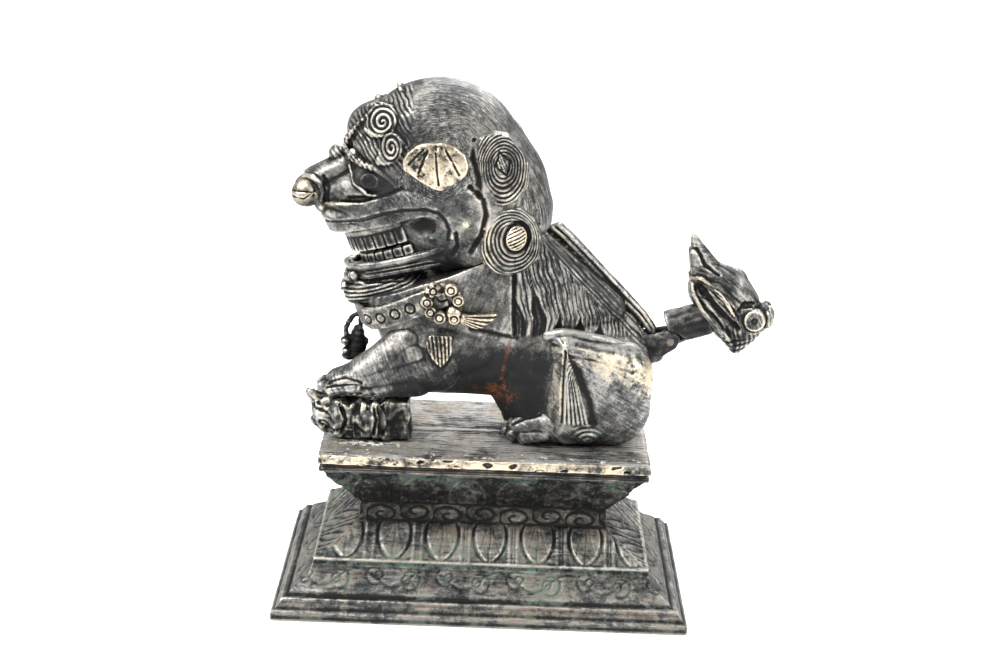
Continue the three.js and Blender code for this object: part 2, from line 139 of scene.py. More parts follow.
class Graph:
    """The node tree of one material."""

    def __init__(self, name: str) -> None:
        """Starts an empty material with a shader and an output."""
        self.material = bpy.data.materials.new(name)
        self.material.use_nodes = True
        self.nodes = self.material.node_tree.nodes
        self.links = self.material.node_tree.links
        self.nodes.clear()
        self.shader = self.nodes.new("ShaderNodeBsdfPrincipled")
        output = self.nodes.new("ShaderNodeOutputMaterial")
        self.links.new(self.shader.outputs[0], output.inputs[0])

    def node(
        self, kind: str, settings: dict | None = None, inputs: dict | None = None, output: str | int = 0
    ) -> Signal:
        """Adds a node.

        Args:
            kind: The node's type.
            settings: Its properties, set first; stops fill a colour ramp.
            inputs: Values or signals of its sockets, by name or number.
            output: The socket that is given back.

        Returns:
            The output as a signal.
        """
        made = self.nodes.new(kind)
        for key, value in (settings or {}).items():
            if key == "stops":
                self._fill_ramp(made, value)
            else:
                setattr(made, key, value)
        for key, value in (inputs or {}).items():
            if isinstance(value, Signal):
                self.links.new(value.socket, made.inputs[key])
            else:
                made.inputs[key].default_value = value
        return Signal(self, made.outputs[output])

    @staticmethod
    def _fill_ramp(made: bpy.types.Node, stops: Sequence[tuple[float, tuple]]) -> None:
        """Puts the stops (place, colour) in a colour ramp."""
        elements = made.color_ramp.elements
        while len(elements) < len(stops):
            elements.new(0.5)
        for element, (place, colour) in zip(elements, stops):
            element.position = place
            element.color = colour

    def attribute(self, name: str, output: str = "Fac") -> Signal:
        """Reads a piece's own attribute."""
        return self.node("ShaderNodeAttribute", {"attribute_name": name}, output=output)

    def coordinates(self) -> Signal:
        """Object coordinates, in metres."""
        return self.node("ShaderNodeTexCoord", output="Object")

    def noise(self, vector: Signal, grains: float, detail: float = 4.0, rough: float = 0.55) -> Signal:
        """Fractal noise.

        Args:
            vector: Where it is read.
            grains: Grains to one unit of the vector.
            detail: Octaves.
            rough: How strong the finer octaves are.

        Returns:
            The noise, round 0.5.
        """
        inputs = {"Vector": vector, "Scale": grains, "Detail": detail, "Roughness": rough}
        return self.node("ShaderNodeTexNoise", {}, inputs, "Fac")

    def mix(self, amount: Signal | float, first: Signal | tuple, second: Signal | tuple) -> Signal:
        """Mixes two colours; amount 0 is the first."""
        settings = {"data_type": "RGBA", "clamp_factor": True}
        inputs = {0: amount, 6: first, 7: second}
        return self.node("ShaderNodeMix", settings, inputs, 2)

    def ramp(self, value: Signal, *stops: tuple[float, tuple]) -> Signal:
        """A colour that runs through the stops as the value grows."""
        return self.node("ShaderNodeValToRGB", {"stops": stops}, {"Fac": value}, "Color")

    def set(self, **inputs: Signal | float | tuple) -> None:
        """Feeds the shader's sockets; underscores stand for the spaces in their names."""
        for key, value in inputs.items():
            socket = self.shader.inputs[key.replace("_", " ")]
            if isinstance(value, Signal):
                self.links.new(value.socket, socket)
            else:
                socket.default_value = value


def grey(level: float) -> tuple[float, float, float, float]:
    """A neutral colour."""
    return (level, level, level, 1.0)


# --- finishes


@dataclass(frozen=True)
class Patina:
    """Aged bronze: grey-black skin, lighter on raised relief from rubbing and from painted highlight, with
    dirt and painted shade in the recesses and a few corroded patches.
    """

    name: str
    skin_dark: tuple = (0.020, 0.021, 0.021, 1.0)
    skin_mid: tuple = (0.092, 0.094, 0.092, 1.0)
    skin_light: tuple = (0.40, 0.395, 0.375, 1.0)
    brown: tuple = (0.15, 0.112, 0.074, 1.0)
    # near black of dirt and of painted shade in the hollows
    dirt_and_shade: tuple = (0.010, 0.0095, 0.0095, 1.0)
    brass: tuple = (0.66, 0.565, 0.42, 1.0)
    verdigris: tuple = (0.080, 0.132, 0.112, 1.0)
    rust: tuple = (0.17, 0.056, 0.022, 1.0)
    crust: tuple = (0.60, 0.57, 0.52, 1.0)
    brownness: float = 0.28
    lift: float = 0.46
    wear_from: float = 0.45
    wear_to: float = 1.15
    roughness: float = 0.34
    stroke_bump: float = 1.0

    def make(self) -> bpy.types.Material:
        """Builds the material from the pieces' attributes and noise.

        Returns:
            The material.
        """
        g = Graph(self.name)
        place = g.coordinates()
        blotch = g.noise(place, 75, 5, 0.62)
        mottle = g.noise(place, 420, 5, 0.66)
        grain = g.noise(place, 2600, 3, 0.6)
        strokes = g.noise(g.attribute("strokes", "Vector"), 1.0, 4, 0.7)
        combed, high, broad = g.attribute("combed"), g.attribute("high"), g.attribute("broad")
        brass, green, red = g.attribute("brass"), g.attribute("green"), g.attribute("red")
        # dark is mostly painted shade; pale is a lighter tone, and on the slab top a painted highlight.
        crust, dark, pale = g.attribute("crust"), g.attribute("dark"), g.attribute("pale")

        fleck = g.noise(place, 1250, 4, 0.7)
        tone = (blotch - 0.5) * 2.6 + (mottle - 0.5) * 1.9 + (fleck - 0.5) * 1.3
        tone = tone + (strokes - 0.5) * 4.2 * combed
        # Painted light and shade in the skin: raised relief lighter, hollows darker, the dark mask's painted
        # shade darker and the pale mask lighter, over random tone.
        light = high * 0.28 + broad * 0.3 + tone * 0.78 + self.lift
        lightness = (light - dark * 0.66 + pale * 0.6).limited()
        stops = ((0.0, self.skin_dark), (0.5, self.skin_mid), (1.0, self.skin_light))
        skin = g.ramp(lightness, *stops)
        brown_at = (mottle * 0.9 + blotch * 1.2 + fleck * 0.4 - 1.0).step(0.12, 0.5)
        brown_at = brown_at * self.brownness * (1.0 - dark)
        skin = g.mix(brown_at, skin, self.brown)

        chance = (mottle - 0.5) * 2.0 + (fleck - 0.5) * 1.2
        worn = high * 0.8 + broad * 0.25 + chance * 0.9 + (strokes - 0.5) * combed - dark
        worn = worn.step(self.wear_from, self.wear_to) * 0.5
        rubbed = brass * 1.45 + chance + high * 0.4 + (blotch - 0.5) + (strokes - 0.5) * combed
        rubbed = (rubbed - 0.55).step(0.0, 0.75)
        bright = (worn + rubbed - worn * rubbed).limited()
        # Dirt and painted shade: hollows found from the relief, deepened by the dark mask's painted shade,
        # turn near black.
        recess = ((mottle - 0.5) * 0.5 - high - broad * 0.4 + dark * 0.35 - pale * 0.3).step(0.12, 0.66)

        colour = g.mix(bright, skin, self.brass)
        colour = g.mix(recess * 0.92, colour, self.dirt_and_shade)
        green_at = (green * 1.2 + (blotch - 0.5) * 2.2 + chance * 0.8 + recess * 0.3 - 0.72).step(0.0, 0.5)
        colour = g.mix(green_at * 0.68, colour, self.verdigris)
        red_at = (red * 1.4 + chance - 0.35).step(0.0, 0.9)
        colour = g.mix(red_at * 0.9, colour, self.rust)
        crust_at = (crust * 1.5 + chance * 1.5 - 0.75).step(0.0, 0.3)
        colour = g.mix(crust_at, colour, self.crust)

        dull = (green_at * 0.8 + red_at * 0.7 + crust_at + recess * 0.6 + dark * 0.3 + pale * 0.3).limited()
        roughness = self.roughness + (grain - 0.5) * 0.2 + (mottle - 0.5) * 0.3 - bright * 0.08 + dull * 0.35
        relief = grain * 0.3 + mottle * 0.8 + strokes * combed * (1.8 * self.stroke_bump)
        inputs = {"Strength": 0.8, "Distance": 0.00032, "Height": relief}
        bump = g.node("ShaderNodeBump", {}, inputs, "Normal")
        metallic = 0.82 + bright * 0.18 - dull * 0.75
        g.set(Base_Color=colour, Metallic=metallic.limited(), Roughness=roughness.limited(), Normal=bump)
        g.set(Specular_IOR_Level=0.12)
        return g.material


@dataclass(frozen=True)
class Iron:
    """Plain dark iron of the fixings."""

    name: str = "fixing_iron"
    colour: tuple = (0.16, 0.145, 0.13, 1.0)
    rust: tuple = (0.20, 0.085, 0.035, 1.0)

    def make(self) -> bpy.types.Material:
        """Builds the material."""
        g = Graph(self.name)
        place = g.coordinates()
        mottle = g.noise(place, 700, 5, 0.6)
        grain = g.noise(place, 4000, 3, 0.6)
        rusty = (mottle + (grain - 0.5) * 0.4).step(0.48, 0.62)
        bump = g.node("ShaderNodeBump", {}, {"Strength": 0.4, "Distance": 0.0001, "Height": grain}, "Normal")
        g.set(
            Base_Color=g.mix(rusty, self.colour, self.rust),
            Metallic=1.0 - rusty * 0.7,
            Roughness=0.38 + rusty * 0.4,
            Normal=bump,
        )
        return g.material


# --- clay: forms and relief


@dataclass(frozen=True)
class Ball:
    """One ball of clay, in millimetres."""

    x: float
    y: float
    z: float
    rx: float
    ry: float = 0.0
    rz: float = 0.0

    @property
    def matrix(self) -> Matrix:
        """Place and size of the ball from a unit sphere."""
        size = (self.rx, self.ry or self.rx, self.rz or self.rx)
        return Matrix.Translation((self.x, self.y, self.z)) @ Matrix.Diagonal((*size, 1.0))

    def across(self) -> Ball:
        """The same ball on the lion's other side."""
        return Ball(self.x, -self.y, self.z, self.rx, self.ry, self.rz)


Skin = list[Ball]


def both(skins: Iterable[Skin]) -> list[Skin]:
    """The skins, and the same on the other side."""
    skins = list(skins)
    return skins + [[ball.across() for ball in skin] for skin in skins]


def coil(points: Sequence[Point], radius: float, end_radius: float | None = None) -> list[Skin]:
    """A roll of clay through some points.

    Args:
        points: The roll's line.
        radius: Its radius at the start.
        end_radius: Its radius at the end, where it tapers.

    Returns:
        One skin for each stretch.
    """
    last = radius if end_radius is None else end_radius
    radii = np.linspace(radius, last, len(points))
    balls = [Ball(*point, float(r)) for point, r in zip(points, radii)]
    return [[first, second] for first, second in zip(balls, balls[1:])]


def band(upper: Sequence[Point], lower: Sequence[Point], radius: float) -> list[Skin]:
    """A flat band of clay between two lines with as many points each.

    Args:
        upper: The band's upper edge.
        lower: Its lower edge.
        radius: Half its thickness.

    Returns:
        One skin for each stretch.
    """
    ends = [[Ball(*a, radius), Ball(*b, radius)] for a, b in zip(upper, lower)]
    return [first + second for first, second in zip(ends, ends[1:])]


def spread(points: Sequence[Point], gap: float) -> np.ndarray:
    """Points at an even gap along a line.

    Args:
        points: The line's corners.
        gap: Distance from one point to the next.

    Returns:
        The points, one to a row.
    """
    line = np.array(points, float)
    lengths = np.linalg.norm(np.diff(line, axis=0), axis=1)
    along = np.concatenate([[0.0], np.cumsum(lengths)])
    places = np.arange(0.0, along[-1] + 1e-6, gap)
    return np.stack([np.interp(places, along, line[:, axis]) for axis in range(3)], axis=1)


def beads(points: Sequence[Point], gap: float, radius: float) -> list[Skin]:
    """A string of beads along a line."""
    return [[Ball(*place, radius)] for place in spread(points, gap)]


def rise(value: Field, low: float, high: float) -> Field:
    """A smooth rise from 0 at low to 1 at high."""
    t = np.clip((value - low) / (high - low), 0.0, 1.0)
    return t * t * (3.0 - 2.0 * t)


def hump(distance: Field, width: float) -> Field:
    """A round hump: 1 on the line, 0 from width on."""
    t = np.clip(np.abs(distance) / width, 0.0, 1.0)
    return (1.0 - t * t) ** 2


def furrows(value: Field, pitch: float, sharpness: float = 1.0) -> Field:
    """Parallel furrows: 1 in the bottom of each, 0 between them."""
    wave = 0.5 + 0.5 * np.cos(2.0 * math.pi * value / pitch)
    return wave**sharpness


class Clay:
    """A closed mesh that is shaped by moving its points along their normals."""

    def __init__(self, mesh: bpy.types.Mesh, mirrored: bool = False, seed: int = 1) -> None:
        """Takes a mesh in millimetres; mirrored relief is the same on both sides."""
        self.mesh = mesh
        self.mirrored = mirrored
        self.random = np.random.default_rng(seed)
        count = len(mesh.vertices)
        # Most of what goes into dark is painted shade; pale makes things lighter, and on the slab top it is
        # a painted highlight.
        self.masks: dict[str, Field] = {
            key: np.zeros(count) for key in ("brass", "green", "red", "crust", "dark", "pale", "combed")
        }
        self.strokes = np.zeros((count, 3))
        edges = np.empty(len(mesh.edges) * 2, np.int32)
        mesh.edges.foreach_get("vertices", edges)
        self.edges = edges.reshape(-1, 2)
        self.neighbours = np.bincount(self.edges.ravel(), minlength=count).clip(1)
        self.real = np.empty(0)
        self.refresh()

    def refresh(self) -> None:
        """Reads places and normals again after the mesh has changed."""
        count = len(self.mesh.vertices)
        flat = np.empty(count * 3, np.float32)
        self.mesh.vertices.foreach_get("co", flat)
        self.real = flat.reshape(-1, 3).astype(float)
        self.mesh.vertex_normals.foreach_get("vector", flat)
        self.real_normal = flat.reshape(-1, 3).astype(float)
        self.at = self.real.copy()
        self.normal = self.real_normal.copy()
        if self.mirrored:
            flip = np.where(self.real[:, 1] > 0.0, -1.0, 1.0)
            self.at[:, 1] *= flip
            self.normal[:, 1] *= flip
        self.x, self.y, self.z = self.at.T

    def push(self, height: Field) -> None:
        """Moves every point along its normal by a height in millimetres."""
        moved = self.real + self.real_normal * height[:, None]
        self.mesh.vertices.foreach_set("co", moved.astype(np.float32).ravel())
        self.mesh.update()
        self.refresh()

    def smooth(self, values: Field, rounds: int) -> Field:
        """Averages values with their neighbours.

        Args:
            values: One number, or one row, for each point.
            rounds: How many times.

        Returns:
            The averaged values.
        """
        first, second = self.edges.T
        count = len(self.neighbours)
        rows = values if values.ndim == 2 else values[:, None]
        for _ in range(rounds):
            sums = np.empty_like(rows)
            for column in range(rows.shape[1]):
                data = rows[:, column]
                sums[:, column] = np.bincount(first, data[second], count) + np.bincount(
                    second, data[first], count
                )
            rows = 0.4 * rows + 0.6 * sums / self.neighbours[:, None]
        return rows if values.ndim == 2 else rows[:, 0]

    def track(self, points: Sequence[Point], reach: float = 7.0) -> tuple[Field, Field]:
        """Distance from a line, measured along the surface.

        Args:
            points: The line's corners.
            reach: How far under or over the surface the line may be.

        Returns:
            The distance of each point, and how far along the line its nearest place is.
        """
        best = np.full(len(self.at), FAR)
        along = np.zeros(len(self.at))
        travelled = 0.0
        for start, end in zip(points, points[1:]):
            a, b = np.array(start, float), np.array(end, float)
            length = float(np.linalg.norm(b - a)) or 1e-9
            way = (b - a) / length
            from_start = self.at - a
            t = np.clip(from_start @ way, 0.0, length)
            away = from_start - t[:, None] * way
            depth = np.sum(away * self.normal, axis=1)
            flat = np.sqrt(np.maximum(np.sum(away * away, axis=1) - depth * depth, 0.0))
            flat = np.where(np.abs(depth) > reach, FAR, flat)
            nearer = flat < best
            best = np.where(nearer, flat, best)
            along = np.where(nearer, travelled + t, along)
            travelled += length
        return best, along

    def line(self, points: Sequence[Point], width: float, height: float, reach: float = 7.0) -> Field:
        """The height of a ridge along a line, or of a groove where height is negative."""
        distance, _ = self.track(points, reach)
        return height * hump(distance, width)

    def oval(self, centre: tuple[float, float], radii: tuple[float, float], turn: float = 0.0) -> Field:
        """Distance from an oval's centre on the flank, 1 on its edge.

        Args:
            centre: Its x and z.
            radii: Its half sizes along x and z.
            turn: How far it is turned, in degrees, from x towards z.

        Returns:
            The distance of each point.
        """
        c, s = math.cos(math.radians(turn)), math.sin(math.radians(turn))
        dx, dz = self.x - centre[0], self.z - centre[1]
        u, w = c * dx + s * dz, c * dz - s * dx
        return np.hypot(u / radii[0], w / radii[1])

    @property
    def flank(self) -> Field:
        """1 where the surface faces the lion's left, 0 where it faces away."""
        return rise(-self.normal[:, 1], 0.05, 0.35)

    def comb(self, across: Field, along: Field, amount: Field, fine: float = 1.5) -> None:
        """Lays fine tool strokes over a stretch of the surface.

        Args:
            across: Distance across the strokes, in millimetres.
            along: Distance along them.
            amount: How strong they are, from 0 to 1.
            fine: Strokes to a millimetre.
        """
        chosen = amount > self.masks["combed"]
        laid = np.stack([across * fine, along * fine * 0.09, np.zeros_like(across)], axis=1)
        self.strokes[chosen] = laid[chosen]
        self.masks["combed"] = np.maximum(self.masks["combed"], amount)

    def lumps(self, width: float) -> Field:
        """Irregular hand-worked lumps of about a width, round 0 and mostly within 1."""
        rough = self.smooth(self.random.standard_normal(len(self.x)), self.rounds(width))
        return np.clip(rough / max(float(np.std(rough)), 1e-9) * 0.5, -1.2, 1.2)

    def rounds(self, width: float) -> int:
        """How many averaging rounds spread a value over a width in millimetres."""
        ends = self.real[self.edges[:: max(1, len(self.edges) // 5000)]]
        gap = float(np.median(np.linalg.norm(ends[:, 0] - ends[:, 1], axis=1)))
        return max(1, round((width / gap) ** 2 / 0.6))

    def paint(self, mask: str, amount: Field) -> None:
        """Adds to one of the colour masks."""
        self.masks[mask] = np.clip(self.masks[mask] + amount, 0.0, 1.0)

    def finish(self, scale: float = 1.0) -> None:
        """Stores how far each point stands out from what is round it, and all the masks.

        Args:
            scale: Above 1 the relief counts for more.
        """
        near = self.smooth(self.real, self.rounds(0.75))
        far = self.smooth(near, self.rounds(2.6))
        fine = np.sum((self.real - near) * self.real_normal, axis=1)
        high = (fine - self.smooth(fine, self.rounds(2.2))) * 7.0 * scale
        broad = np.sum((self.real - far) * self.real_normal, axis=1)
        broad = (broad - np.median(broad)) * 1.6 * scale
        layers = {"high": high, "broad": broad, **self.masks}
        for key, values in layers.items():
            layer = self.mesh.attributes.new(key, "FLOAT", "POINT")
            layer.data.foreach_set("value", np.clip(values, -1.0, 1.0).astype(np.float32))
        layer = self.mesh.attributes.new("strokes", "FLOAT_VECTOR", "POINT")
        layer.data.foreach_set("vector", self.strokes.astype(np.float32).ravel())


def add_skin(whole: bmesh.types.BMesh, balls: Skin) -> None:
    """Adds the tight skin round some balls to a mesh."""
    bm = bmesh.new()
    for ball in balls:
        rounds = 3 if ball.rx < 2.5 else 4 if ball.rx < 7.0 else 5
        bmesh.ops.create_icosphere(bm, subdivisions=rounds, radius=1.0, matrix=ball.matrix)
    if len(balls) > 1:
        bmesh.ops.delete(bm, geom=bm.edges[:], context="EDGES_FACES")
        hull = bmesh.ops.convex_hull(bm, input=bm.verts[:], use_existing_faces=False)
        inside = [item for item in hull["geom_interior"] if isinstance(item, bmesh.types.BMVert)]
        bmesh.ops.delete(bm, geom=inside, context="VERTS")
    part = bpy.data.meshes.new("skin")
    bm.to_mesh(part)
    bm.free()
    whole.from_mesh(part)
    bpy.data.meshes.remove(part)


@dataclass(frozen=True)
class Plane:
    """A flat cut; the clay on the normal's side is taken away."""

    point: Point
    normal: Point


def cut_plane(bm: bmesh.types.BMesh, plane: Plane) -> None:
    """Cuts everything in a mesh off at a plane and closes the openings."""
    everything = bm.verts[:] + bm.edges[:] + bm.faces[:]
    bmesh.ops.bisect_plane(
        bm, geom=everything, plane_co=plane.point, plane_no=plane.normal, clear_outer=True
    )
    rim = [edge for edge in bm.edges if edge.is_boundary]
    bmesh.ops.holes_fill(bm, edges=rim, sides=0)


def mesh_of(bm: bmesh.types.BMesh, name: str) -> bpy.types.Mesh:
    """Turns a bmesh into a mesh and frees it."""
    bmesh.ops.recalc_face_normals(bm, faces=bm.faces)
    mesh = bpy.data.meshes.new(name)
    bm.to_mesh(mesh)
    bm.free()
    return mesh


def evaluated(mesh: bpy.types.Mesh, steps: Sequence[tuple[str, dict]]) -> bpy.types.Mesh:
    """Runs modifiers over a mesh and gives the result.

    Args:
        mesh: The mesh to start from; it is removed.
        steps: Each modifier's type and its settings.

    Returns:
        The new mesh.
    """
    carrier = bpy.data.objects.new("carrier", mesh)
    bpy.context.scene.collection.objects.link(carrier)
    for kind, settings in steps:
        modifier = carrier.modifiers.new(kind.lower(), kind)
        for key, value in settings.items():
            setattr(modifier, key, value)
    graph = bpy.context.evaluated_depsgraph_get()
    made = bpy.data.meshes.new_from_object(carrier.evaluated_get(graph))
    bpy.data.objects.remove(carrier)
    bpy.data.meshes.remove(mesh)
    return made


def model(
    skins: Iterable[Skin],
    voxel: float,
    cuts: Sequence[Plane] = (),
    soften: int = 3,
    mirrored: bool = False,
    hollows: Iterable[Skin] = (),
    seed: int = 1,
) -> Clay:
    """Runs skins of clay into one form.

    Args:
        skins: The skins.
        voxel: Size of the finished mesh's squares, in millimetres.
        cuts: Planes that the form is cut off at.
        soften: How far its creases are rounded.
        mirrored: Whether relief is the same on both sides.
        hollows: Skins that are taken away from the form.
        seed: Start of the piece's own random numbers.

    Returns:
        The clay.
    """
    bm = bmesh.new()
    for balls in skins:
        add_skin(bm, balls)
    for plane in cuts:
        cut_plane(bm, plane)
    steps = [("REMESH", {"mode": "VOXEL", "voxel_size": voxel * COARSE, "adaptivity": 0.0})]
    mesh = evaluated(mesh_of(bm, "clay"), steps)
    hollows = list(hollows)
    if hollows:
        tool = bmesh.new()
        for balls in hollows:
            add_skin(tool, balls)
        tool_mesh = evaluated(mesh_of(tool, "hollow"), steps)
        cutter = bpy.data.objects.new("cutter", tool_mesh)
        bpy.context.scene.collection.objects.link(cutter)
        taking = {"operation": "DIFFERENCE", "object": cutter, "solver": "EXACT"}
        mesh = evaluated(mesh, [("BOOLEAN", taking)] + steps)
        bpy.data.objects.remove(cutter)
        bpy.data.meshes.remove(tool_mesh)
    if soften:
        mesh = evaluated(mesh, [("SMOOTH", {"factor": 0.5, "iterations": soften})])
    return Clay(mesh, mirrored, seed)


@dataclass(frozen=True)
class Place:
    """Where the figure's own frame stands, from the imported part."""

    middle: Vector
    slab_top: float

    @classmethod
    def from_frame(cls) -> Place:
        """Reads the plinth's middle and the slab's top."""
        low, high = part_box("plinth")
        return cls((low + high) / 2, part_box("slab")[1].z)

    @property
    def matrix(self) -> Matrix:
        """From the figure's millimetres to the frame's metres."""
        return Matrix.Translation((self.middle.x, self.middle.y, self.slab_top)) @ Matrix.Scale(MM, 4)


@dataclass
class Workshop:
    """Puts finished pieces in the scene."""

    place: Place
    finishes: dict[Slot, bpy.types.Material] = field(default_factory=dict)
    triangles: int = 0

    def deliver(
        self, name: str, clay: Clay, slot: Slot, nodes: Sequence[str],
        body: Body = Body.STATUE, relief: float = 1.0,
    ) -> None:
        """Makes an object of some clay, rides it on its body and hides what it stands for.

        Args:
            name: The piece's name.
            clay: Its finished mesh.
            slot: The finish it takes.
            nodes: The CAD nodes that it stands for.
            body: The body that it moves with.
            relief: Above 1 its relief shows more in its colours.
        """
        clay.finish(relief)
        mesh = clay.mesh
        mesh.name = name
        mesh.transform(self.place.matrix)
        mesh.materials.clear()
        mesh.materials.append(self.finishes[slot])
        mesh.shade_smooth()
        piece = bpy.data.objects.new(name, mesh)
        bpy.context.scene.collection.objects.link(piece)
        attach(piece, body.value)
        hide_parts(*nodes)
        count = sum(len(polygon.vertices) - 2 for polygon in mesh.polygons)
        self.triangles += count
        LOG.info("%s: %d triangles", name, count)


# --- plinth and slab


def wrapped_sheet(
    profile: Sequence[tuple[float, float]], half: tuple[float, float], columns: tuple[int, int], name: str
) -> bpy.types.Mesh:
    """A closed four-sided body, wrapped from one grid.

    Args:
        profile: Distance in from the outer edge, and height, of each row; it closes on itself.
        half: Half the outer length and half the outer width.
        columns: Grid columns on a long side and on a short side.
        name: The mesh's name.

    Returns:
        The mesh.
    """
    total, rows = 2 * (columns[0] + columns[1]), len(profile) - 1
    bm = bmesh.new()
    bmesh.ops.create_grid(bm, x_segments=total, y_segments=rows, size=0.5)
    mesh = bpy.data.meshes.new(name)
    bm.to_mesh(mesh)
    flat = np.empty(len(mesh.vertices) * 3, np.float32)
    mesh.vertices.foreach_get("co", flat)
    grid = flat.reshape(-1, 3).astype(float)
    column = np.rint((grid[:, 0] - grid[:, 0].min()) / np.ptp(grid[:, 0]) * total)
    row = np.rint((grid[:, 1] - grid[:, 1].min()) / np.ptp(grid[:, 1]) * rows).astype(int)
    stops = np.cumsum([0, columns[0], columns[1], columns[0], columns[1]])
    along_x = np.interp(column, stops, [-1.0, 1.0, 1.0, -1.0, -1.0])
    along_y = np.interp(column, stops, [-1.0, -1.0, 1.0, 1.0, -1.0])
    shape = np.array(profile, float)[row]
    placed = np.stack(
        [along_x * (half[0] - shape[:, 0]), along_y * (half[1] - shape[:, 0]), shape[:, 1]], axis=1
    )
    mesh.vertices.foreach_set("co", placed.astype(np.float32).ravel())
    bm.clear()
    bm.from_mesh(mesh)
    bmesh.ops.remove_doubles(bm, verts=bm.verts, dist=0.001)
    bpy.data.meshes.remove(mesh)
    return mesh_of(bm, name)


def dense(profile: Sequence[tuple[float, float]], gap: float) -> list[tuple[float, float]]:
    """Adds rows to a profile so that they are at most a gap apart."""
    rows = [profile[0]]
    for (i0, z0), (i1, z1) in zip(profile, profile[1:]):
        steps = max(1, round(math.hypot(i1 - i0, z1 - z0) / gap))
        rows += [(i0 + (i1 - i0) * k / steps, z0 + (z1 - z0) * k / steps) for k in range(1, steps + 1)]
    return rows


def fraction(value: Field, low: float, high: float) -> Field:
    """How far a value is from low to high, unlimited."""
    return (value - low) / (high - low)


